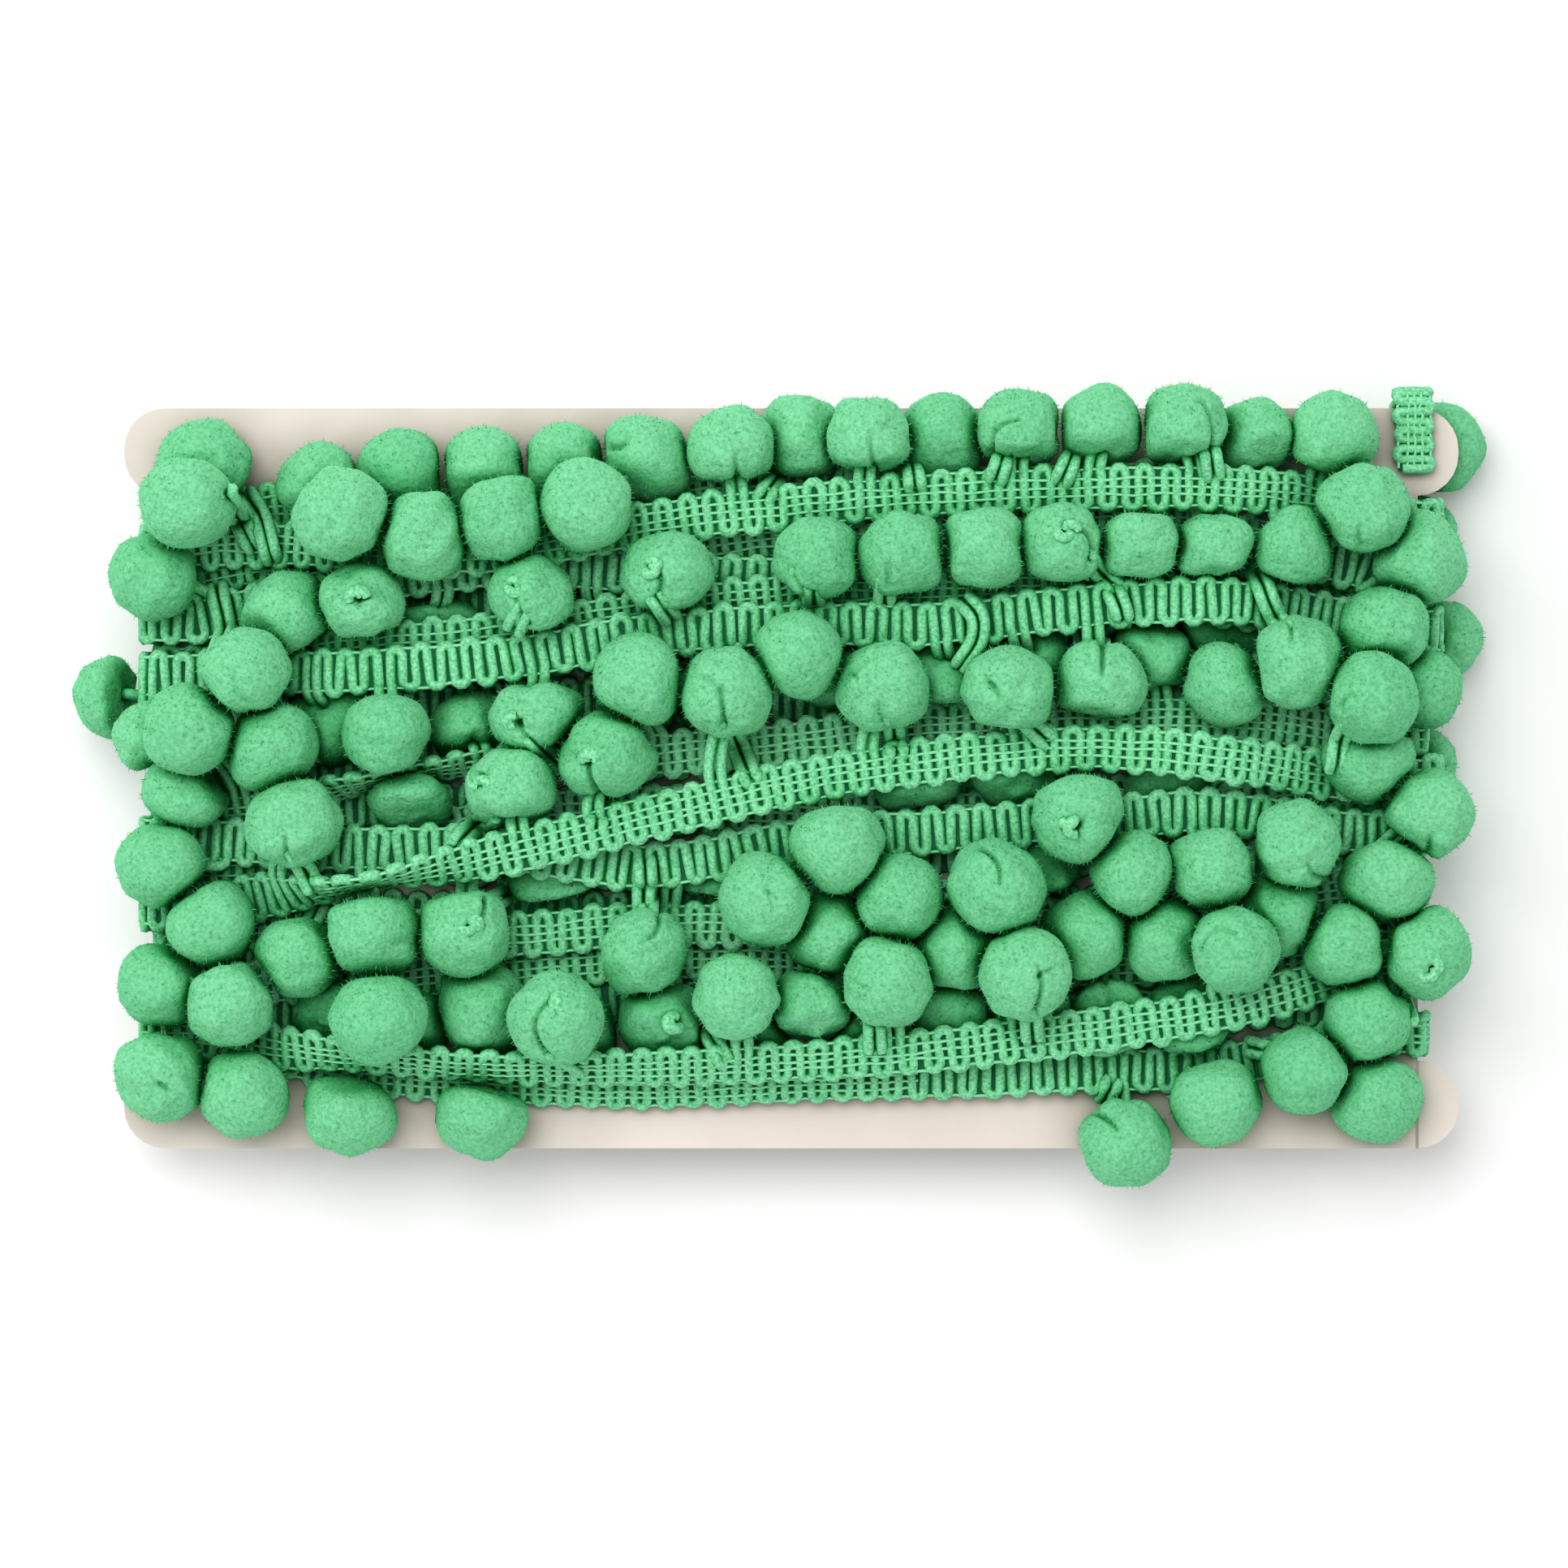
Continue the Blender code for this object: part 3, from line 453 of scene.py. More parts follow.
def settle(balls, radii, braids, on_card):
    """Moves the balls apart until each has its room, holding each near its own place."""
    homes = balls.copy()
    stretches = np.concatenate([b.stretches() for b in braids])
    middles = stretches.mean(axis=1)
    near = [stretches[np.linalg.norm(middles - c, axis=1) < 24] for c in balls]
    for _ in range(SETTLE_ROUNDS):
        push = (homes - balls) * (0.06, 0.06, 0.03)
        for i in range(len(balls)):
            apart = balls[i] - balls
            distance = np.linalg.norm(apart, axis=1)
            wanted = POM_SPACING * (radii[i] + radii)
            close = (distance < wanted) & (distance > 1e-9)
            share = ((wanted - distance) / np.maximum(distance, 1e-9) * 0.5)[close]
            push[i] += (apart[close] * share[:, None]).sum(axis=0) * 0.8
            away = balls[i] - nearest_on_stretches(balls[i], near[i])
            length = np.maximum(np.linalg.norm(away, axis=1), 1e-3)
            short = np.maximum(POM_TO_BRAID - length, 0)
            push[i] += (away * (short / length)[:, None]).sum(axis=0) * 0.35
        balls = balls + push
        low = np.where(on_card(balls), CARD_TOP + 5.2, 6.0)
        balls[:, 2] = np.maximum(balls[:, 2], low)
    return balls

def over_card(balls):
    """Which balls lie over the card and not past its edges."""
    beyond = (abs(balls[:, 0]) > CARD_END + 2) | (abs(balls[:, 1]) > CARD_WIDTH / 2 + 2)
    return ~beyond & (balls[:, 2] > CARD_MIDDLE)

def plane_to(centre, line, thickness):
    """The plane between a centre and a short straight cord."""
    start, run = line[0], line[1] - line[0]
    t = np.clip((centre - start) @ run / (run @ run), 0, 1)
    towards = unit(start + run * t - centre)
    return towards, ((line - centre) @ towards).min() - thickness - GAP

def pressing_planes(i, balls, radii, roots, stretches, middles, card_corners):
    """What flattens ball i: (direction, distance) of each plane that it may not pass."""
    centre, planes = balls[i], []
    for j in range(len(balls)):
        apart = balls[j] - centre
        distance = np.linalg.norm(apart)
        if j != i and distance < radii[i] + radii[j] + GAP:
            share = 0.5 + (radii[i] - radii[j]) / (2 * distance)
            planes.append((apart / distance, distance * share - GAP / 2))
        if j != i and np.linalg.norm(roots[j] - centre) < radii[i] + 12:
            planes.append(plane_to(centre, np.array([roots[j], balls[j]]), LOOP_RADIUS * 1.5))
    close = stretches[np.linalg.norm(middles - centre, axis=1) < radii[i] + 12]
    for corners, nearest in zip(close, nearest_on_stretches(centre, close)):
        towards = unit(nearest - centre)
        planes.append((towards, ((corners - centre) @ towards).min() - GAP))
    nearest = np.clip(centre, card_corners[0], card_corners[1])
    if np.linalg.norm(nearest - centre) > 1e-6:
        planes.append((unit(nearest - centre), np.linalg.norm(nearest - centre) - GAP))
    planes.append((np.array((0.0, 0.0, -1.0)), centre[2]))
    return planes

random = np.random.default_rng(7)
balls = np.array([(x, y, CARD_TOP + h) for turn in FRONT for x, y, h in turn.poms], float)
owners = [braid for turn, braid in zip(FRONT, fronts) for _ in turn.poms]
radii = POM_RADIUS * (1 + POM_VARIATION * (2 * random.random(len(balls)) - 1))
past_end = (abs(balls[:, 0]) > FAR_OUT) & (balls[:, 2] < CARD_TOP + 4)
radii[past_end] *= END_POM_SHARE
balls = settle(balls, radii, braids, over_card)
front_count = len(balls)
others = [p for row in back_starts for p in row] + [TAIL_POM]
owners += [b for b, row in zip(backs, back_starts) for _ in row] + [tail]
balls = np.concatenate([balls, np.array(others)])
radii = np.concatenate([radii, np.full(len(others), POM_RADIUS)])
stretches = np.concatenate([b.stretches() for b in braids])
middles = stretches.mean(axis=1)
counts = {b.name: 0 for b in braids}
roots, hung = [], {b.name: [] for b in braids}
for i, (ball, braid) in enumerate(zip(balls, owners)):
    k = braid.roots[counts[braid.name]]
    counts[braid.name] += 1
    place, side = braid.root(k, ball)
    roots.append(place)
    hung[braid.name].append((i, braid.route[k:k + 2].mean(axis=0), 1 if side == 0 else -1))
card_corners = np.array([(-CARD_LENGTH / 2, -CARD_WIDTH / 2, CARD_UNDERSIDE),
                         (CARD_LENGTH / 2, CARD_WIDTH / 2, CARD_TOP)])
presses = [pressing_planes(i, balls, radii, roots, stretches, middles, card_corners)
           for i in range(len(balls))]


# The pompoms: balls of trimmed green acrylic pile, lumpy, tied round the middle by a thread. They have
# a pucker or a cleft where the thread bites and a dimple where their loop goes in, each darkened by
# painted shade as deep as it is.
FELT_GREEN = (0.220, 0.665, 0.352)
FELT_DEEP = (0.125, 0.500, 0.230)
FOLD_SHADE = (0.10, 0.34, 0.18)
SHADE_TINT = (0.84, 0.92, 0.88)
LUMPS = 10
HIGH_POMS = 10.5
SOFT_CORNERS = 10.0
TOP_RINGS = (2, 4.5, 7.5, 11, 15, 19.5, 24.5, 30, 36, 43, 51, 60, 70, 81, 93, 106, 121, 140, 160)
LOW_RINGS = (4, 9, 15, 22, 30, 39, 50, 63, 78, 94, 112, 132, 155)
BACK_RINGS = (6, 15, 26, 38, 52, 68, 86, 106, 130, 154)
MARKED_RINGS = (2, 4, 6.5, 9, 12, 15, 18.5, 22, 26, 30, 34.5, 39, 44, 49, 54.5, 60, 66, 73, 81, 90,
                101, 114, 130, 150)

def square_to(v):
    """Two directions square to v and to each other."""
    first = unit(np.cross(v, (0.0, 1.0, 0.0) if abs(v[1]) < 0.9 else (1.0, 0.0, 0.0)))
    return first, np.cross(v, first)


# The marks that show on the pompoms, numbered in the tables' order: a cleft where the loop pulls in
# runs from one place to another, bent to one side, and a pucker is where the tie bites. Places are
# millimetres right of and above the pompom's middle as it is seen from above.
CLEFTS = (
    (17, 4.2, -4.2, 0.4, -1.6, 0.1, 1.5), (33, -0.3, -5.0, -2.7, 1.2, 0.1, 1.3),
    (34, -2.0, -4.8, -2.2, 1.0, -0.2, 1.4), (23, 1.6, -6.5, 1.0, -1.5, 0.1, 1.0),
    (43, 2.2, -6.6, -2.6, -2.0, 0.1, 1.3), (85, -0.3, -6.5, -1.0, 0.4, 0.0, 1.5),
    (85, -4.4, 2.2, -1.4, -0.2, 0.1, 0.7), (84, -0.9, -6.8, -2.7, -0.8, 0.1, 1.6),
    (83, -5.2, 2.6, -4.8, 0.8, 0.0, 0.9), (40, 0.9, -5.4, -0.9, -1.2, 0.2, 0.6),
    (20, -0.2, -0.6, 1.2, -4.5, 0.1, 0.5), (19, -2.0, -3.2, 0.6, -0.8, 0.1, 0.5),
    (25, -4.4, -4.8, -0.6, 1.8, 0.35, 1.3), (24, 1.9, -6.4, 0.5, 0.6, 0.1, 1.1),
    (27, 3.9, -5.2, 2.6, 4.2, -0.15, 1.4), (30, -0.8, -6.6, -1.6, -3.4, 0.1, 0.8),
    (37, 4.6, -3.6, 0.4, 2.6, -0.35, 1.6), (35, -0.3, -6.6, -3.8, -2.4, 0.25, 1.0),
    (8, -2.7, -6.0, -2.6, -2.6, 0.0, 0.9), (49, 0.8, 7.4, 0.5, 1.8, 0.0, 1.7),
    (50, -1.4, 7.0, -1.6, 3.6, 0.0, 1.2), (86, 0.9, -6.6, -0.8, -2.8, 0.2, 1.0),
    (86, -5.6, 2.0, -4.8, 0.2, 0.3, 0.7), (87, -4.2, 1.2, -2.2, -2.4, 0.1, 1.2),
    (82, -0.5, -6.6, -0.9, -2.6, 0.0, 1.2), (73, 4.0, 5.6, 1.7, 0.4, 0.2, 1.4),
    (74, 2.8, 6.2, 0.5, 1.8, 0.2, 1.3), (116, -1.0, -6.4, 0.2, 4.2, 0.30, 1.5),
    (91, 0.2, 1.6, 1.4, -0.8, 0.1, 0.6), (122, 0.6, -1.2, 2.4, -3.0, 0.1, 1.0),
    (76, -2.8, 7.0, 0.4, 1.2, 0.2, 1.5), (119, 1.5, -6.6, 1.9, 1.2, -0.1, 1.4),
    (119, 2.0, -0.6, 4.6, 0.6, 0.1, 0.9), (118, -5.4, -0.2, -3.4, -1.8, 0.1, 0.6),
    (79, 5.0, -6.0, 1.6, -3.6, 0.2, 1.1), (120, -6.2, 0.8, -0.4, 3.0, 0.35, 0.9),
    (126, -5.0, 5.0, -2.0, 2.6, 0.1, 1.4), (80, -0.3, -7.0, -0.4, -4.4, 0.0, 1.2),
    (88, -6.0, -1.6, -3.6, 0.6, 0.2, 0.9), (7, -5.6, 1.8, -2.4, 3.6, -0.2, 0.9),
    (112, -1.0, 6.4, 0.2, 2.0, 0.1, 0.9),
)
PUCKERS = ((32, 0.2, 0.5), (33, -2.7, 1.2), (34, -2.3, 1.0), (84, -2.7, -0.8), (77, -0.8, -1.6),
           (73, 1.7, 0.3), (116, 0.0, 3.2), (106, 2.3, 0.6), (121, 0.8, -2.8), (43, -2.6, -2.0),
           (83, -5.0, 1.7), (37, 0.6, 2.4))
CLEFT_HALF_WIDTH = 0.52
MARKED = {c[0]: c[3:5] for c in CLEFTS} | {p[0]: p[1:] for p in PUCKERS}

def cleft_depth(spots, row):
    """How deep one cleft is at places seen from above: deepest at its outer end."""
    _, x0, y0, x1, y1, bend, depth = row
    start, whole = np.array((x0, y0)), np.array((x1 - x0, y1 - y0))
    length = np.linalg.norm(whole)
    forward = whole / length
    side = np.array((-forward[1], forward[0]))
    share = np.clip((spots - start) @ forward / length, 0, 1)
    off = (spots - start) @ side - bend * length * 4 * share * (1 - share)
    beyond = np.abs((spots - start) @ forward / length - share) * length
    gone = np.hypot(off, beyond)
    return depth * (1 - 0.55 * share) * np.exp(-(gone / CLEFT_HALF_WIDTH) ** 2)

def pucker_depth(spots, place, own):
    """How deep a pucker is: a small pit with a few short creases going out from it."""
    spots = spots - np.array(place)
    bite = 0.95 * np.exp(-(np.hypot(spots[:, 0], spots[:, 1]) / 0.75) ** 2)
    turn = own.random() * 6
    for _ in range(5):
        turn += own.uniform(0.8, 1.7)
        out = spots[:, 0] * math.cos(turn) + spots[:, 1] * math.sin(turn)
        off = spots[:, 1] * math.cos(turn) - spots[:, 0] * math.sin(turn) - 0.12 * out ** 2
        fading = np.clip(1 - out / own.uniform(2.0, 3.6), 0, 1) * (out > -0.2)
        bite += own.uniform(0.35, 0.80) * fading * np.exp(-(off / 0.42) ** 2)
    return np.minimum(bite, 1.3)

def pompom(i, rings, sides):
    """The points of one pompom, ring by ring from its crown, and how deep in a fold each is."""
    own = np.random.default_rng(100 + i)
    lean = np.array((own.normal(0, 0.30), own.normal(0, 0.30), 1.0 if i < front_count else -1.0))
    if i in MARKED:
        x, y = np.array(MARKED[i]) / radii[i]
        lean = np.array((x, y, math.sqrt(max(1 - x * x - y * y, 0.09))))
    crown = unit(lean)
    first, second = square_to(crown)
    polar = np.radians(np.array(rings))[:, None]
    round_ = (np.arange(sides) * 2 * math.pi / sides + own.random() * 6)[None, :]
    ways = (crown * np.cos(polar)[..., None] + (first * np.cos(round_)[..., None]
            + second * np.sin(round_)[..., None]) * np.sin(polar)[..., None]).reshape(-1, 3)
    ways = np.concatenate([[crown], ways, [-crown]])
    towards = np.array([u for u, _ in presses[i]])
    limits = np.array([max(h, 0.9) for _, h in presses[i]])
    facing = np.maximum(ways @ towards.T, 1e-6)
    closeness = (radii[i] * facing / limits) ** SOFT_CORNERS
    far = radii[i] * (1 + closeness.sum(axis=1)) ** (-1 / SOFT_CORNERS)
    for k in range(LUMPS):
        wave = unit(own.normal(size=3)) * (2.0 + 1.1 * k)
        far += own.uniform(0.12, 0.30) / (1 + 0.18 * k) * np.sin(ways @ wave + own.random() * 6)
    loop = unit(roots[i] - balls[i])
    from_loop = np.arccos(np.clip(ways @ loop, -1, 1))
    fold = 1.5 * np.exp(-(from_loop / 0.26) ** 2)
    beside = unit(np.cross(loop, crown) + own.normal(0, 0.15, 3))
    crease = np.exp(-((ways @ beside) * radii[i] / 0.75) ** 2)
    fold += own.uniform(0.2, 0.8) * crease * np.exp(-(from_loop / own.uniform(0.4, 0.9)) ** 2)
    spots = (ways * far[:, None])[:, :2]
    from_above = ways[:, 2] > -0.1
    for row in CLEFTS:
        if row[0] == i:
            fold += cleft_depth(spots, row) * from_above
    for number, x, y in PUCKERS:
        if number == i:
            fold += pucker_depth(spots, (x, y), own) * from_above
    return balls[i] + ways * np.maximum(far - fold, 1.0)[:, None], fold

def felt_mesh(name, which, usual_rings, usual_sides):
    """One mesh of several pompoms. Those with marks have a closer net."""
    points, faces = [], []
    values = {"fold": [], "shade": []}
    base = 0
    for i in which:
        rings, sides = (MARKED_RINGS, 60) if i in MARKED else (usual_rings, usual_sides)
        made, fold = pompom(i, rings, sides)
        points.append(made)
        values["fold"].append(fold)
        values["shade"].append(np.full(len(made), np.random.default_rng(500 + i).random()))
        ring = base + 1 + np.arange(len(rings))[:, None] * sides + np.arange(sides)[None, :]
        after = np.roll(ring, -1, axis=1)
        faces += [(base, a, b) for a, b in zip(ring[0], after[0])]
        for r in range(len(rings) - 1):
            faces += list(zip(ring[r], ring[r + 1], after[r + 1], after[r]))
        end = base + 1 + len(rings) * sides
        faces += [(end, b, a) for a, b in zip(ring[-1], after[-1])]
        base += len(made)
    data = bpy.data.meshes.new(name)
    data.from_pydata(((np.concatenate(points) + CARD_PLACE) * MM).tolist(), [],
                     [tuple(int(v) for v in face) for face in faces])
    for title, rows in values.items():
        data.attributes.new(title, "FLOAT", "POINT").data.foreach_set("value", np.concatenate(rows))
    data.shade_smooth()
    data.materials.append(felt)
    return keep(name, data)

def attribute(tree, name):
    """A value kept on the mesh's points."""
    node = tree.nodes.new("ShaderNodeAttribute")
    node.attribute_name = name
    return node.outputs["Fac"]

def keep(name, data):
    """Puts a mesh into the scene as an object."""
    made = bpy.data.objects.new(name, data)
    bpy.context.collection.objects.link(made)
    return made

def place_in(piece, nodes=()):
    """Fixes a piece to the card's body, in place of the solids of the named lengths."""
    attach(piece, "root")
    if nodes:
        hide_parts(*nodes)


felt, tree, shader = new_material("green_felt_pile", 1.0)
shader.inputs["Specular IOR Level"].default_value = 0.0
shader.inputs["Sheen Weight"].default_value = 0.9
shader.inputs["Sheen Roughness"].default_value = 0.4
colour = shift(tree, speckle(tree, 0.7, 3.0, 0.6), 0.34, 0.62, FELT_DEEP, FELT_GREEN)
# Painted shade: the pile darkens with the depth of its folds, clefts, puckers and loop dimples, as
# shade falls in them.
colour = shift(tree, attribute(tree, "fold"), 0.35, 1.5, colour, FOLD_SHADE, "MULTIPLY")
colour = shift(tree, attribute(tree, "shade"), 0.0, 1.0, colour, SHADE_TINT, "MULTIPLY")
# Painted shade: darker, deeper green where neighbours and braids shut a pompom in, near black in the
# crevices between them.
colour = deep(tree, colour, 12.0, ((0.30, 0.85, (0.17, 0.63, 0.33)), (0.08, 0.50, (0.0, 0.15, 0.02))))
tree.links.new(colour, shader.inputs["Base Color"])
tree.links.new(colour, shader.inputs["Sheen Tint"])
bumped(tree, shader, speckle(tree, 2.4, 2.0), 0.7, 1.0)
bumped(tree, shader, speckle(tree, 0.7, 3.0, 0.65), 0.35, 0.9)

front = range(front_count)
upper = [i for i in front if balls[i][2] > CARD_TOP + HIGH_POMS]
lower = [i for i in front if balls[i][2] <= CARD_TOP + HIGH_POMS]
behind = range(front_count, len(balls))
top_poms = felt_mesh("pompoms_on_top", upper, TOP_RINGS, 44)
low_poms = felt_mesh("pompoms_beneath", lower, LOW_RINGS, 30)
back_poms = felt_mesh("pompoms_behind", behind, BACK_RINGS, 22)
place_in(top_poms, front_names)
place_in(low_poms, front_names)
place_in(back_poms, behind_names)


# The zigzag of spun cotton cord that the braid is made of: legs laid side by side across the band,
# turned in round lobes at its edges, and run out at every inch into the loop of a pompom.
CORD_THICKNESS = 1.98
LEG_PITCH = 2.15
TAIL_PITCH = 1.62
LOBE_STEPS = 4
CORD_SIDES = 6
BACK_CORD_SIDES = 5
CORD_GREEN = (0.290, 0.800, 0.440)
CORD_DEEP = (0.115, 0.490, 0.230)
CLOSE = 0.3
ROUND_STEPS = 14

class Path:
    """The middle line of a braid in close, even steps, with the directions across and out of it."""

    def __init__(self, route, tilts, side, width, across=(0.0, 1.0, 0.0), facing=1):
        self.width = width
        gone = np.concatenate([[0], np.cumsum(np.linalg.norm(np.diff(route, axis=0), axis=1))])
        self.length = gone[-1]
        self.at = np.linspace(0, gone[-1], int(gone[-1] / CLOSE))
        self.points = np.stack([np.interp(self.at, gone, route[:, a]) for a in range(3)], axis=1)
        kernel = np.hanning(11) / np.hanning(11).sum()
        padded = np.concatenate([np.repeat(self.points[:1], 5, 0), self.points,
                                 np.repeat(self.points[-1:], 5, 0)])
        soft = np.stack([np.convolve(padded[:, a], kernel, "valid") for a in range(3)], 1)
        soft[:6], soft[-6:] = self.points[:6], self.points[-6:]
        self.points = soft
        self.along = np.gradient(self.points, axis=0)
        self.along /= np.linalg.norm(self.along, axis=1)[:, None]
        flat = np.array(across) - self.along * (self.along @ across)[:, None]
        flat /= np.linalg.norm(flat, axis=1)[:, None]
        up = np.cross(self.along, flat)
        tilts = np.interp(self.at, gone, tilts)[:, None]
        self.edge = side * (flat * np.cos(tilts) + up * np.sin(tilts))
        self.out = facing * side * np.cross(self.along, self.edge)

    def places(self, s, c, h):
        """Points at s along the braid, c across it and h out of it."""
        def at(rows):
            return np.stack([np.interp(s, self.at, rows[:, a]) for a in range(3)], axis=1)
        c, h = np.broadcast_to(c, s.shape), np.broadcast_to(h, s.shape)
        return at(self.points) + at(self.edge) * c[:, None] + at(self.out) * h[:, None]

    def nearest(self, point):
        """How far along the braid a point is."""
        return self.at[int(np.argmin(np.linalg.norm(self.points - point, axis=1)))]

def front_path(turn):
    """The close line of a front braid, with rounder turns at the card's ends than its solid has."""
    limit = CARD_END - WRAP_IN
    route, tilts = front_route(turn, np.linspace(-limit, limit, 180), ROUND_STEPS)
    return Path(route, tilts, turn.side, BRAID_WIDTH)


paths = {turn.name: front_path(turn) for turn in FRONT}
for braid, turn in zip(backs, BACK):
    paths[braid.name] = Path(braid.route, np.zeros(len(braid.route)), turn.side, BACK_WIDTH, facing=-1)
paths["trim_tail"] = Path(tail.route, np.zeros(len(tail.route)), 1, TAIL_WIDTH, (1.0, 0.0, 0.0), -1)

def loop_to(path, s, side, reach_out, ball):
    """The loop of cord from the braid's edge into a pompom and back."""
    away = side * reach_out
    start, further, ahead = path.places(np.array([s, s, s + 0.5]),
                                        np.array([away, away + side, away]), 0.0)
    leave, beside = unit(further - start), unit(ahead - start)
    goal = ball + unit(start - ball) * 2.2
    span = np.linalg.norm(goal - start)
    ways = np.linspace(0, 1, 8)[:, None]
    one, two = start + leave * span * 0.35, goal + unit(start - ball) * span * 0.3
    line = ((1 - ways) ** 3 * start + 3 * (1 - ways) ** 2 * ways * one
            + 3 * (1 - ways) * ways ** 2 * two + ways ** 3 * goal)
    apart = LEG_PITCH / 2 * (1 - ways) + 0.92 * ways
    return np.concatenate([line - beside * apart, (line + beside * apart)[::-1]])

def zigzag(path, loops, seed, leg_points, lobe_points, pitch=LEG_PITCH):
    """The points of the cord along one braid and its thickness at each, as a share of the usual.
    loops is a list of (place along it, side, ball)."""
    own = np.random.default_rng(seed)
    legs = int((path.length - 1.0) / pitch)
    starts = 0.5 + pitch * (np.arange(legs + 1) + 0.5) + own.normal(0, 0.09, legs + 1)
    straight = path.width / 2 - CORD_THICKNESS / 2 - pitch / 2
    outs = {}
    for s, side, ball in loops:
        free = [n for n in range(legs) if (1 if n % 2 == 0 else -1) == side and n not in outs]
        outs[min(free, key=lambda n: abs(starts[n] + pitch / 2 - s))] = ball
    points, shares = [], []
    pinched = np.interp(np.linspace(-1, 1, leg_points), (-1, -0.67, -0.34, 0, 0.34, 0.67, 1),
                        (0.97, 0.87, 1.01, 0.86, 1.01, 0.87, 0.97))
    for n in range(legs):
        side = 1 if n % 2 == 0 else -1
        c = side * np.linspace(-straight, straight, leg_points)
        lean = own.normal(0, 0.10) * np.linspace(-1, 1, leg_points)
        h = own.normal(0, 0.07) + 0.10 * np.sin(np.linspace(0, math.pi, leg_points))
        points.append(path.places(starts[n] + lean, c, h))
        shares.append(pinched * own.uniform(0.93, 1.07, leg_points))
        middle = (starts[n] + starts[n + 1]) / 2
        half = (starts[n + 1] - starts[n]) / 2
        if n in outs:
            points.append(loop_to(path, middle, side, straight + 0.3, outs[n]))
        else:
            turn = np.linspace(0, math.pi, lobe_points + 2)[1:-1]
            bulge = half * own.uniform(0.80, 1.30)
            points.append(path.places(middle - half * np.cos(turn),
                                      side * (straight + bulge * np.sin(turn)), own.normal(0, 0.10)))
        shares.append(own.uniform(0.96, 1.06, len(points[-1])))
    return np.concatenate(points), np.concatenate(shares)

def line_object(name, lines):
    """A mesh of open lines. Each line is its points and its share of the thickness at each."""
    points = np.concatenate([(line + CARD_PLACE) * MM for line, _ in lines])
    ends = np.cumsum([len(line) for line, _ in lines])
    edges = np.stack([np.arange(len(points) - 1), np.arange(1, len(points))], axis=1)
    edges = np.delete(edges, ends[:-1] - 1, axis=0)
    data = bpy.data.meshes.new(name)
    data.from_pydata(points.tolist(), edges.tolist(), [])
    share = data.attributes.new("share", "FLOAT", "POINT")
    share.data.foreach_set("value", np.concatenate([s for _, s in lines]))
    return keep(name, data)

def new_tree(name, given, result):
    """An empty node tree with named inputs, each a name and a kind, and one result."""
    group = bpy.data.node_groups.new(name, "GeometryNodeTree")
    for title, kind in given:
        group.interface.new_socket(title, in_out="INPUT", socket_type="NodeSocket" + kind)
    group.interface.new_socket(result, in_out="OUTPUT", socket_type="NodeSocketGeometry")
    start = group.nodes.new("NodeGroupInput").outputs
    return group, group.nodes.new, group.links.new, start

def close_tree(group, shape, material):
    """Ends a node tree: its instances are made real and it gets its material."""
    real = group.nodes.new("GeometryNodeRealizeInstances")
    paint = group.nodes.new("GeometryNodeSetMaterial")
    paint.inputs["Material"].default_value = material
    end = group.nodes.new("NodeGroupOutput")
    group.links.new(shape, real.inputs["Geometry"])
    group.links.new(real.outputs["Geometry"], paint.inputs["Geometry"])
    group.links.new(paint.outputs["Geometry"], end.inputs[0])
    return group

def cord_tree(material):
    """Geometry Nodes that give each line a round cord of a thickness and a number of sides."""
    group, make, link, start = new_tree(
        "spun_cord", (("Lines", "Geometry"), ("Thickness", "Float"), ("Sides", "Int")), "Cord")
    section = make("GeometryNodeCurvePrimitiveCircle")
    to_curve = make("GeometryNodeMeshToCurve")
    share = make("GeometryNodeInputNamedAttribute")
    share.data_type = "FLOAT"
    share.inputs["Name"].default_value = "share"
    thick = make("GeometryNodeSetCurveRadius")
    sweep = make("GeometryNodeCurveToMesh")
    sweep.inputs["Fill Caps"].default_value = True
    round_shade = make("GeometryNodeSetShadeSmooth")
    link(reckon(group, "MULTIPLY", start["Thickness"], 0.5), section.inputs["Radius"])
    link(start["Sides"], section.inputs["Resolution"])
    link(start["Lines"], to_curve.inputs["Mesh"])
    link(to_curve.outputs["Curve"], thick.inputs["Curve"])
    link(share.outputs["Attribute"], thick.inputs["Radius"])
    link(thick.outputs["Curve"], sweep.inputs["Curve"])
    link(section.outputs["Curve"], sweep.inputs["Profile Curve"])
    link(sweep.outputs["Mesh"], round_shade.inputs["Geometry"])
    return close_tree(group, round_shade.outputs["Geometry"], material)

def run_tree(source, group, name, **settings):
    """Runs a node tree on an object with the named settings and keeps the result as a mesh."""
    modifier = source.modifiers.new("make", "NODES")
    modifier.node_group = group
    for socket in group.interface.items_tree:
        if socket.in_out == "INPUT" and socket.name in settings:
            modifier[socket.identifier] = settings[socket.name]
    source.update_tag()
    bpy.context.view_layer.update()
    seen = source.evaluated_get(bpy.context.evaluated_depsgraph_get())
    data = bpy.data.meshes.new_from_object(seen)
    data.name = name
    bpy.data.objects.remove(source)
    return keep(name, data)


cord_finish, tree, shader = new_material("green_gimp_cord", 0.9)
shader.inputs["Specular IOR Level"].default_value = 0.06
shader.inputs["Sheen Weight"].default_value = 0.8
colour = shift(tree, speckle(tree, 0.6, 3.0, 0.6), 0.36, 0.60, CORD_DEEP, CORD_GREEN)
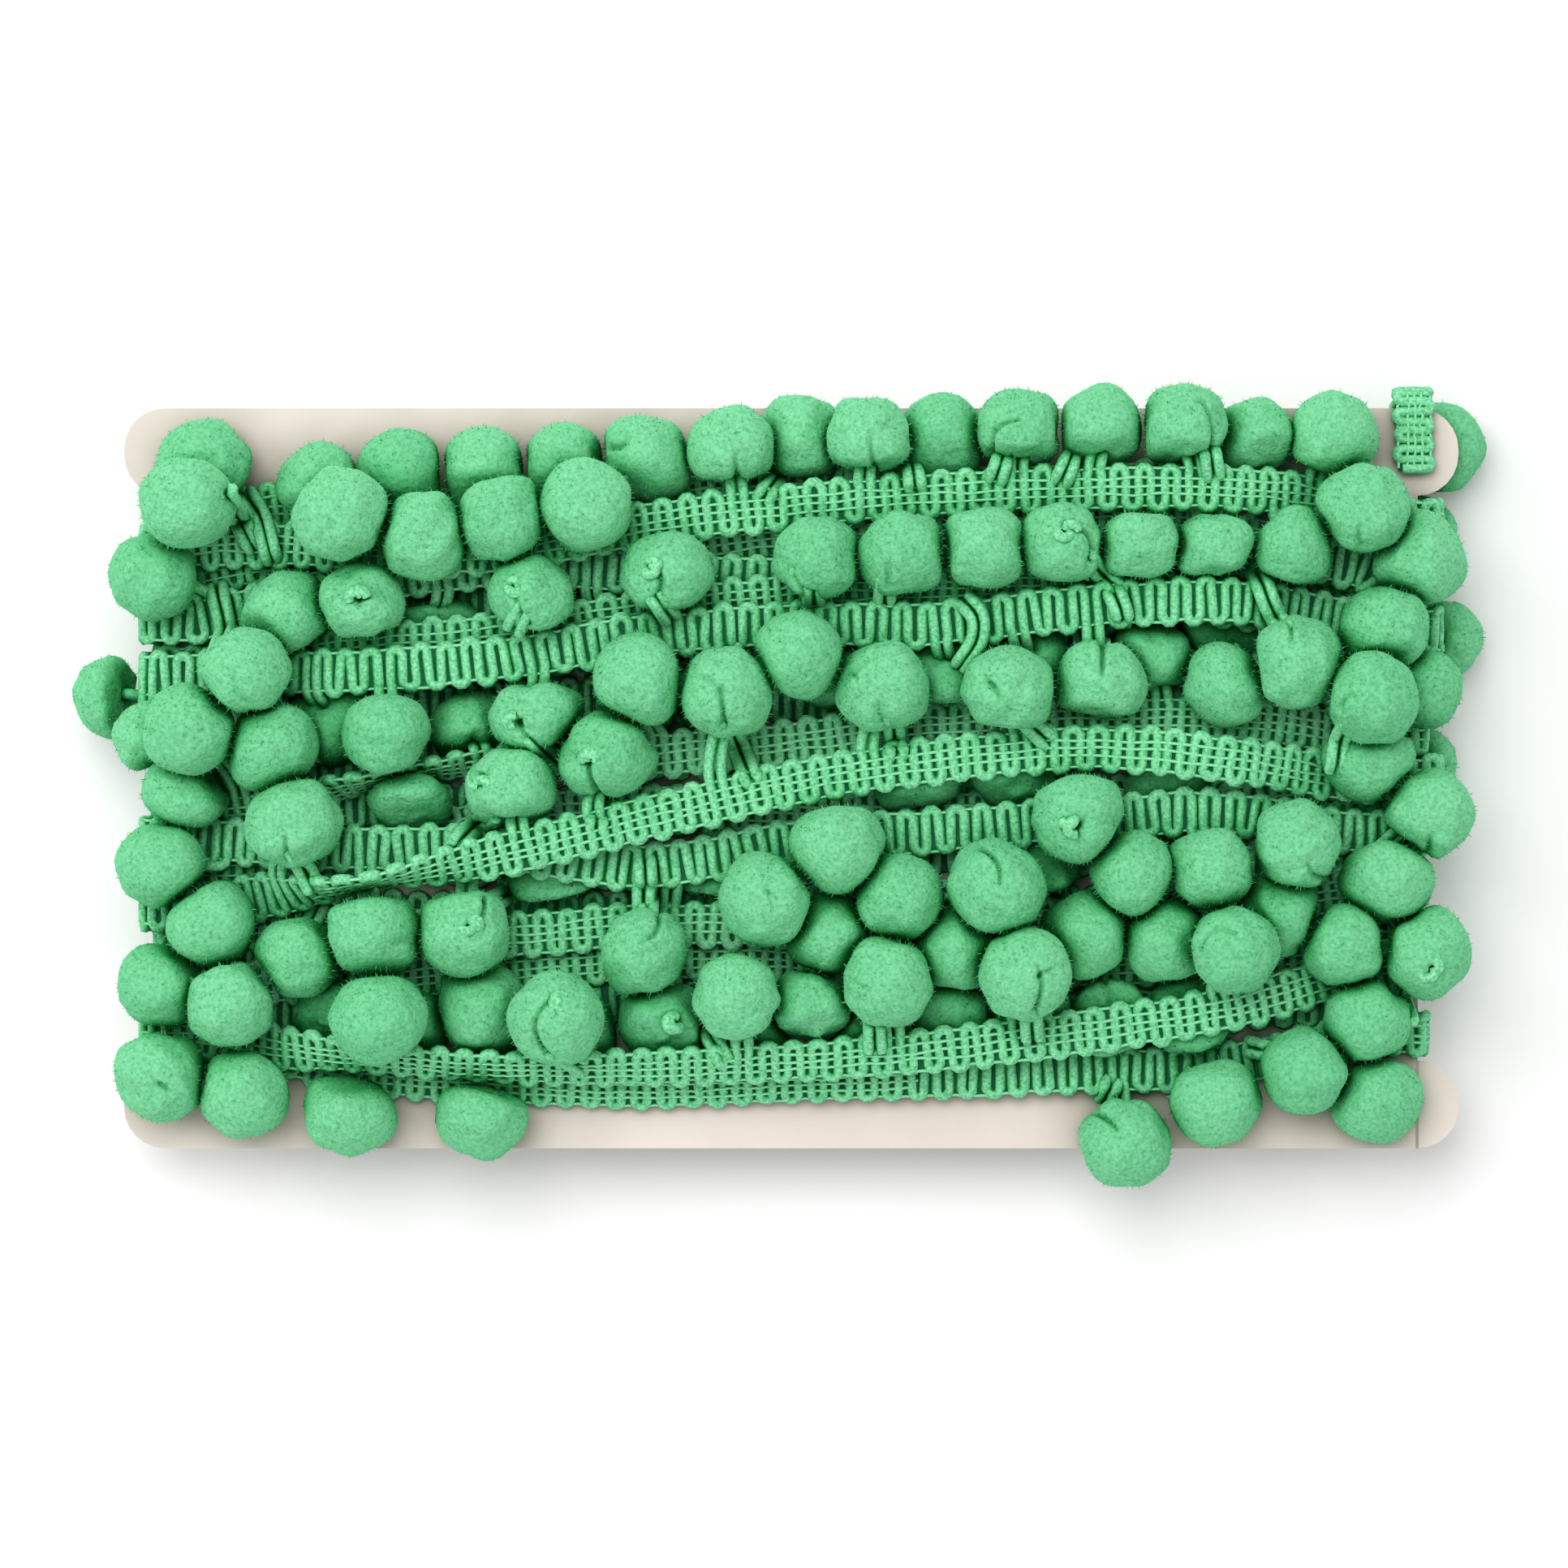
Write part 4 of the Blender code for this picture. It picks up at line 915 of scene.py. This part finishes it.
# Painted shade: the cord darkens where other pieces shut it in, near black under pompoms, and again in
# the narrow gaps between its legs.
colour = deep(tree, colour, 6.0, ((0.35, 0.88, (0.16, 0.61, 0.33)), (0.10, 0.48, (0.0, 0.15, 0.02))))
colour = deep(tree, colour, 1.4, ((0.40, 0.92, (0.30, 0.70, 0.45)),))
tree.links.new(colour, shader.inputs["Base Color"])
tree.links.new(colour, shader.inputs["Sheen Tint"])
bumped(tree, shader, speckle(tree, 0.5, 3.0, 0.6), 0.24, 1.0)
spun_cord = cord_tree(cord_finish)

def make_cords(name, names, sides, leg_points=7, lobe_points=LOBE_STEPS, more=()):
    """The cords of the named braids as one piece, with more lines of cord."""
    lines = list(more)
    for n, braid in enumerate(names):
        path = paths[braid]
        loops = [(path.nearest(place), side, balls[i]) for i, place, side in hung.get(braid, ())]
        pitch = TAIL_PITCH if braid == "trim_tail" else LEG_PITCH
        lines.append(zigzag(path, loops, 900 + n, leg_points, lobe_points, pitch))
    source = line_object(name + "_lines", lines)
    return run_tree(source, spun_cord, name, Thickness=CORD_THICKNESS * MM, Sides=sides)


# The loops that are slack enough to lie over a braid on their way to a pompom: the pompom's number
# and the places that the middle of the pair of cords goes over.
LOOSE_LOOPS = (
    (17, ((-94.8, 48.5), (-94.1, 43.9), (-91.5, 39.2))),
    (17, ((-93.5, 48.7), (-90.1, 43.9), (-88.2, 37.0))),
    (33, ((-46.8, 24.9), (-44.0, 30.1))),
    (34, ((-20.3, 27.0), (-23.5, 31.5))),
    (85, ((-6.5, -0.8), (-9.0, 5.4), (-11.2, 10.5))),
    (43, ((-39.1, 1.9), (-42.6, 5.4), (-44.7, 7.8))),
    (40, ((-98.3, 32.9), (-96.6, 26.7), (-95.9, 20.5))),
    (4, ((-4.8, 47.3), (-2.1, 51.8))),
    (5, ((21.0, 48.7), (20.5, 52.8))),
    (25, ((34.4, 50.0), (35.7, 54.2))),
    (26, ((45.4, 49.7), (47.4, 54.5))),
    (27, ((71.5, 50.7), (70.5, 55.9))),
    (37, ((55.0, 32.2), (52.2, 34.9), (48.8, 37.7))),
    (87, ((29.2, 30.1), (31.7, 27.4), (31.6, 23.2), (28.5, 18.8))),
    (49, ((54.3, 31.8), (56.4, 26.7), (53.6, 20.5))),
    (50, ((79.0, 34.9), (80.8, 29.4), (83.9, 23.9))),
    (35, ((3.8, 29.4), (3.6, 32.9))),
    (8, ((15.8, 29.1), (15.7, 34.9))),
    (86, ((17.9, 3.6), (16.8, 11.5))),
    (87, ((43.6, 6.0), (38.1, 10.9))),
    (88, ((92.1, 1.2), (92.5, 6.0), (94.2, 11.5))),
    (82, ((-80.5, -18.7), (-84.2, -10.8))),
    (83, ((-56.7, -12.2), (-54.3, -8.4), (-50.2, -6.0))),
    (84, ((-33.0, -8.7), (-32.0, -2.6))),
    (73, ((-47.8, -19.5), (-51.9, -21.6))),
    (74, ((-24.9, -13.6), (-24.2, -23.9))),
    (74, ((-20.3, -17.0), (-21.0, -23.5))),
    (116, ((-35.1, -49.3), (-40.6, -44.8))),
    (117, ((-11.0, -48.3), (-14.1, -42.8))),
    (118, ((14.2, -46.2), (13.9, -40.7))),
    (119, ((40.9, -44.2), (40.0, -38.0))),
    (126, ((55.0, -51.7), (53.5, -55.8))),
    (121, ((104.5, -41.4), (103.8, -34.9))),
    (128, ((78.0, -45.9), (81.5, -46.6))),
)
LOOSE_THICKNESS = 0.86
CURL_THICKNESS = 0.28
every_line = np.concatenate([paths[name].points for name in front_names])

def top_at(place, pom):
    """How high the trim reaches at a place, as seen from above."""
    reach = np.linalg.norm(every_line[:, :2] - place, axis=1)
    heights = [CARD_TOP] + list(every_line[reach < BRAID_WIDTH / 2, 2] + CORD_THICKNESS / 2)
    for i in range(front_count):
        off = np.linalg.norm(balls[i, :2] - place)
        if off < radii[i] - 1.0:
            low = 1.6 if i == pom else 0.4
            heights.append(balls[i, 2] + math.sqrt(radii[i] ** 2 - off ** 2) - low)
    return max(heights)

def slack_loop(pom, places):
    """A pair of cords side by side over the given places, with the last one sunk in its pompom."""
    route = np.array(places)
    gone = np.concatenate([[0], np.cumsum(np.linalg.norm(np.diff(route, axis=0), axis=1))])
    at = np.linspace(0, gone[-1], max(5, int(gone[-1] / 1.1)))
    flat = np.stack([np.interp(at, gone, route[:, a]) for a in range(2)], axis=1)
    for _ in range(2):
        flat[1:-1] = (flat[:-2] + flat[1:-1] * 2 + flat[2:]) / 4
    high = np.array([top_at(place, pom) for place in flat])
    high = np.array([high[max(0, k - 1):k + 2].mean() for k in range(len(high))]) + 0.6
    high[0] -= 1.6
    high[-1] -= 2.2
    forward = np.gradient(flat, axis=0)
    forward /= np.linalg.norm(forward, axis=1)[:, None]
    side = np.stack([-forward[:, 1], forward[:, 0]], axis=1)
    apart = np.linspace(1.08, 0.88, len(flat))[:, None]
    lines = []
    for hand in (-1, 1):
        line = np.column_stack([flat + hand * side * apart, high])
        lines.append((line, np.full(len(line), LOOSE_THICKNESS)))
    return lines


upper_cord = make_cords("cord_of_upper_lengths", front_names[:7], CORD_SIDES)
lower_cord = make_cords("cord_of_lower_lengths", front_names[7:], CORD_SIDES)
back_cord = make_cords("cord_of_back_lengths", back_names, BACK_CORD_SIDES, 3, 3)
curls = []
for pom, x, y in PUCKERS:
    own = np.random.default_rng(60 + pom)
    for n in range(2):
        radius, begin = own.uniform(0.7, 1.3), own.random() * 6
        swing = np.linspace(0, own.uniform(2.4, 4.4), 9)
        middle = np.array((x, y)) + own.normal(0, 0.55, 2)
        flat = middle + radius * np.stack([np.cos(begin + swing), np.sin(begin + swing)], axis=1)
        across = np.hypot(flat[:, 0], flat[:, 1])
        high = np.sqrt(np.maximum(radii[pom] ** 2 - across ** 2, 4.0))
        high += 0.55 * np.sin(np.linspace(0, math.pi, 9)) - 0.75
        curls.append((balls[pom] + np.column_stack([flat, high]), np.full(9, CURL_THICKNESS)))
slack = curls + [line for pom, places in LOOSE_LOOPS for line in slack_loop(pom, places)]
tail_cord = make_cords("cord_of_tail_and_slack_loops", ["trim_tail"], CORD_SIDES, more=slack)
place_in(upper_cord, front_names[:7])
place_in(lower_cord, front_names[7:])
place_in(back_cord, back_names)
place_in(tail_cord, ["trim_tail"])


# The first turns of the winding lie flat on the card under all the others, and show only as dark green
# in the gaps between them: shade, deepened by the painted shade of their finish and of their core
# strips. One row for each: its height up the card at the left and right.
FIRST_TURNS = ((39, 41), (30, 32), (21, 23), (12, 14), (3, 5), (-6, -4), (-15, -13), (-23, -22),
               (-31, -31), (-39, -40))
FIRST_END = 101.0
first_names = []
for n, (left, right) in enumerate(FIRST_TURNS):
    first_names.append(f"first_{n}")
    line = np.array([(x, left + (right - left) * (x / FIRST_END + 1) / 2 + math.sin(x / 19 + n),
                      CARD_TOP + 0.95) for x in np.linspace(-FIRST_END, FIRST_END, 60)])
    paths[first_names[-1]] = Path(line, np.zeros(len(line)), 1, BRAID_WIDTH)
first_cord = make_cords("cord_of_first_turns", first_names, 4, 3, 3)
place_in(first_cord)


# The core of the braid: the threads packed between the legs on its other face, made as a thin strip
# down its middle. Its near-black green is painted shade: it shows only as the dark between one leg and
# the next.
CORE_SHADE_GREEN = (0.004, 0.075, 0.025)
CORE_SHADE_LIGHTER = (0.008, 0.11, 0.04)
CORE_SHARE = 0.36
CORE_HALF_THICK = 0.22

def shade_core_of(names, name, step=1.6):
    """Thin closed strips of painted shade down the middle of the named braids, as one piece."""
    points, faces = [], []
    for braid in names:
        path = paths[braid]
        s = np.linspace(0.8, path.length - 0.8, int(path.length / step))
        half = path.width * CORE_SHARE
        base = len(points)
        corners = [path.places(s, c, h) for c, h in
                   ((half, CORE_HALF_THICK), (half, -CORE_HALF_THICK),
                    (-half, -CORE_HALF_THICK), (-half, CORE_HALF_THICK))]
        points += np.stack(corners, axis=1).reshape(-1, 3).tolist()
        out = 1 if np.dot(np.cross(path.along[9], path.edge[9]), path.out[9]) > 0 else -1
        for r in range(len(s) - 1):
            for k in range(4):
                face = (base + 4 * r + k, base + 4 * r + 4 + k,
                        base + 4 * r + 4 + (k + 1) % 4, base + 4 * r + (k + 1) % 4)
                faces.append(face[::out])
        last = base + 4 * (len(s) - 1)
        faces.append((base, base + 1, base + 2, base + 3)[::out])
        faces.append((last + 3, last + 2, last + 1, last)[::out])
    data = bpy.data.meshes.new(name)
    data.from_pydata(((np.array(points) + CARD_PLACE) * MM).tolist(), [], faces)
    data.materials.append(core_shade_finish)
    return keep(name, data)


# Painted shade: near-black green, far darker than the cord's own green, for the shade between the
# legs.
core_shade_finish, tree, shader = new_material("core_in_painted_shade", 0.95)
tree.links.new(shift(tree, speckle(tree, 0.5), 0.3, 0.7, CORE_SHADE_GREEN, CORE_SHADE_LIGHTER),
               shader.inputs["Base Color"])
front_shade_core = shade_core_of(front_names, "shade_core_front_lengths")
first_shade_core = shade_core_of(first_names, "shade_core_first_turns", 4.0)
back_shade_core = shade_core_of(behind_names, "shade_core_back_lengths")
place_in(front_shade_core, front_names)
place_in(first_shade_core)
place_in(back_shade_core, behind_names)


# The fine warp threads that hold the zigzag: on one face of the braid they lie over the legs and
# make a grid, and a chain of thread goes along each scalloped edge on both faces.
THREAD_THICKNESS = 0.62
WARP_PLACES = (-3.2, -1.25, 0.15, 1.5, 3.2)
THREAD_SIDES = 4
EDGE_SINK = 0.42
THREAD_GREEN = (0.27, 0.74, 0.42)
# The lengths that show their grid. The others show the bare zigzag, tied at its edges.
GRID_FACE = ("turn_01", "turn_02", "turn_04", "turn_05", "turn_07", "turn_08", "turn_10",
             "turn_11", "turn_12", "turn_13", "turn_14", "trim_tail")
EVERYWHERE = ((-999, 999),)
GRID_SPANS = {"turn_14": ((-999, 21.6), (83, 999)), "turn_10": ((-81, 999),)}

def warp_lines(path, c, seed, sink, spans):
    """One warp thread along a braid, in the stretches where it shows. It is sunk in the legs and
    fills the way from one leg to the next."""
    own = np.random.default_rng(seed)
    pitch = TAIL_PITCH if path is paths["trim_tail"] else LEG_PITCH
    legs = int((path.length - 1.4) / pitch)
    middles = 0.5 + pitch * (np.arange(legs) + 0.5)
    s = (middles[:, None] + np.array((0.0, pitch / 2))).ravel()
    slow = np.interp(s, np.linspace(0, path.length, 60), own.normal(0, 0.16, 60))
    high = np.tile((-0.27, -0.38), legs) + own.uniform(-0.09, 0.09, len(s))
    line = path.places(s, c + slow, CORD_THICKNESS / 2 - sink + high)
    shares = own.uniform(0.75, 1.2, len(line))
    found = []
    for low, high in spans:
        inside = (line[:, 0] > low) & (line[:, 0] < high)
        if inside.sum() > 2:
            found.append((line[inside], shares[inside]))
    return found


thread_finish, tree, shader = new_material("green_warp_thread", 0.8)
colour = shift(tree, speckle(tree, 0.8, 2.0), 0.36, 0.60, CORD_GREEN, THREAD_GREEN)
# Painted shade: the thread darkens where pompoms and braids shut it in, near black deep under them.
colour = deep(tree, colour, 6.0, ((0.30, 0.80, (0.14, 0.58, 0.30)), (0.08, 0.42, (0.0, 0.16, 0.04))))
tree.links.new(colour, shader.inputs["Base Color"])
tree.links.new(colour, shader.inputs["Sheen Tint"])
shader.inputs["Specular IOR Level"].default_value = 0.06
shader.inputs["Sheen Weight"].default_value = 0.6
spun_thread = cord_tree(thread_finish)

def make_threads(name, names):
    """The warp threads of the named braids as one piece."""
    lines = []
    for n, braid in enumerate(names):
        path = paths[braid]
        share = path.width / BRAID_WIDTH
        places = WARP_PLACES if braid in GRID_FACE else WARP_PLACES[::4]
        for k, c in enumerate(places):
            at_edge = abs(c) == WARP_PLACES[-1]
            spans = EVERYWHERE if at_edge else GRID_SPANS.get(braid, EVERYWHERE)
            sink = EDGE_SINK if at_edge else 0.0
            lines += warp_lines(path, c * share, 40 * n + k, sink, spans)
    source = line_object(name + "_lines", lines)
    return run_tree(source, spun_thread, name, Thickness=THREAD_THICKNESS * MM, Sides=THREAD_SIDES)


upper_thread = make_threads("threads_of_upper_lengths", front_names[:7])
lower_thread = make_threads("threads_of_lower_lengths", front_names[7:])
back_thread = make_threads("threads_of_back_lengths", behind_names)
place_in(upper_thread, front_names[:7])
place_in(lower_thread, front_names[7:])
place_in(back_thread, behind_names)


# The loose fibres of acrylic that stand out of the pompoms where the pile was trimmed: short hairs
# all over them that lean any way.
FUZZ_LENGTH = 0.72
FUZZ_THICKNESS = 0.16
FUZZ_LEAN = 0.7

def fuzz_tree(material):
    """Geometry Nodes that set short fibres on a felt surface."""
    group, make, link, start = new_tree(
        "felt_fuzz", (("Felt", "Geometry"), ("Fibres in a square metre", "Float"),
                      ("Length", "Float"), ("Thickness", "Float"), ("Seed", "Int")), "Fuzz")
    scatter = make("GeometryNodeDistributePointsOnFaces")
    fibre = make("GeometryNodeMeshCone")
    fibre.inputs["Vertices"].default_value = 3
    lean = make("FunctionNodeRandomValue")
    lean.data_type = "FLOAT_VECTOR"
    lean.inputs["Min"].default_value = (-FUZZ_LEAN,) * 3
    lean.inputs["Max"].default_value = (FUZZ_LEAN,) * 3
    add = make("ShaderNodeVectorMath")
    align = make("FunctionNodeAlignRotationToVector")
    size = make("FunctionNodeRandomValue")
    size.inputs[2].default_value = 0.55
    size.inputs[3].default_value = 1.3
    place = make("GeometryNodeInstanceOnPoints")
    link(start["Felt"], scatter.inputs["Mesh"])
    link(start["Fibres in a square metre"], scatter.inputs["Density"])
    for node in (scatter, lean, size):
        link(start["Seed"], node.inputs["Seed"])
    link(reckon(group, "MULTIPLY", start["Thickness"], 0.5), fibre.inputs["Radius Bottom"])
    link(start["Length"], fibre.inputs["Depth"])
    link(scatter.outputs["Normal"], add.inputs[0])
    link(lean.outputs["Value"], add.inputs[1])
    link(add.outputs["Vector"], align.inputs["Vector"])
    link(scatter.outputs["Points"], place.inputs["Points"])
    link(fibre.outputs["Mesh"], place.inputs["Instance"])
    link(align.outputs["Rotation"], place.inputs["Rotation"])
    link(size.outputs[1], place.inputs["Scale"])
    return close_tree(group, place.outputs["Instances"], material)


felt_fuzz = fuzz_tree(felt)
for seed, (felt_piece, name, density, nodes) in enumerate((
        (top_poms, "fuzz_on_top", 620000.0, front_names),
        (low_poms, "fuzz_beneath", 330000.0, front_names),
        (back_poms, "fuzz_behind", 130000.0, behind_names))):
    source = keep(name + "_felt", felt_piece.data)
    place_in(run_tree(source, felt_fuzz, name, **{
        "Fibres in a square metre": density, "Length": FUZZ_LENGTH * MM,
        "Thickness": FUZZ_THICKNESS * MM, "Seed": 11 + seed}), nodes)


# The studio: a pale table under it, soft light from all round with a wide lamp above and another
# low on the left, and the camera straight above.
FLOOR_HALF = 1.6
PALE = (0.93, 0.93, 0.93)
CAMERA_HEIGHT = 0.9167
CAMERA_PLACE = (0.00035, -0.00018)
FRAME_WIDTH = 0.2691

data = bpy.data.meshes.new("table_top")
data.from_pydata([(-FLOOR_HALF, -FLOOR_HALF, 0), (FLOOR_HALF, -FLOOR_HALF, 0),
                  (FLOOR_HALF, FLOOR_HALF, 0), (-FLOOR_HALF, FLOOR_HALF, 0)], [], [(0, 1, 2, 3)])
table_top = keep("table_top", data)
table_finish, tree, shader = new_material("pale_table", 0.9)
shader.inputs["Base Color"].default_value = (*PALE, 1)
data.materials.append(table_finish)

world = bpy.data.worlds.new("studio")
world.use_nodes = True
world.node_tree.nodes["Background"].inputs["Color"].default_value = (1, 1, 1, 1)
world.node_tree.nodes["Background"].inputs["Strength"].default_value = 0.68
bpy.context.scene.world = world

def lamp(name, place, aim, size, power):
    """A square soft lamp that faces a point."""
    data = bpy.data.lights.new(name, "AREA")
    data.size = size
    data.energy = power
    made = keep(name, data)
    made.location = place
    away = np.array(place) - np.array(aim)
    flat = math.hypot(away[0], away[1])
    made.rotation_euler = (math.atan2(flat, away[2]), 0, math.atan2(away[0], -away[1]))


lamp("over", (-0.25, 0.45, 1.3), (0, 0, 0), 0.9, 11.6)
lamp("side", (-0.9, 0.3, 0.7), (0, 0, 0), 0.5, 2.0)

lens = bpy.data.cameras.new("view")
lens.sensor_width = 36
lens.lens = 36 * (CAMERA_HEIGHT - CARD_TOP * MM) / FRAME_WIDTH
lens.clip_start = 0.01
camera = keep("view", lens)
camera.location = (*CAMERA_PLACE, CAMERA_HEIGHT)
bpy.context.scene.camera = camera
bpy.context.scene.view_settings.view_transform = "Standard"
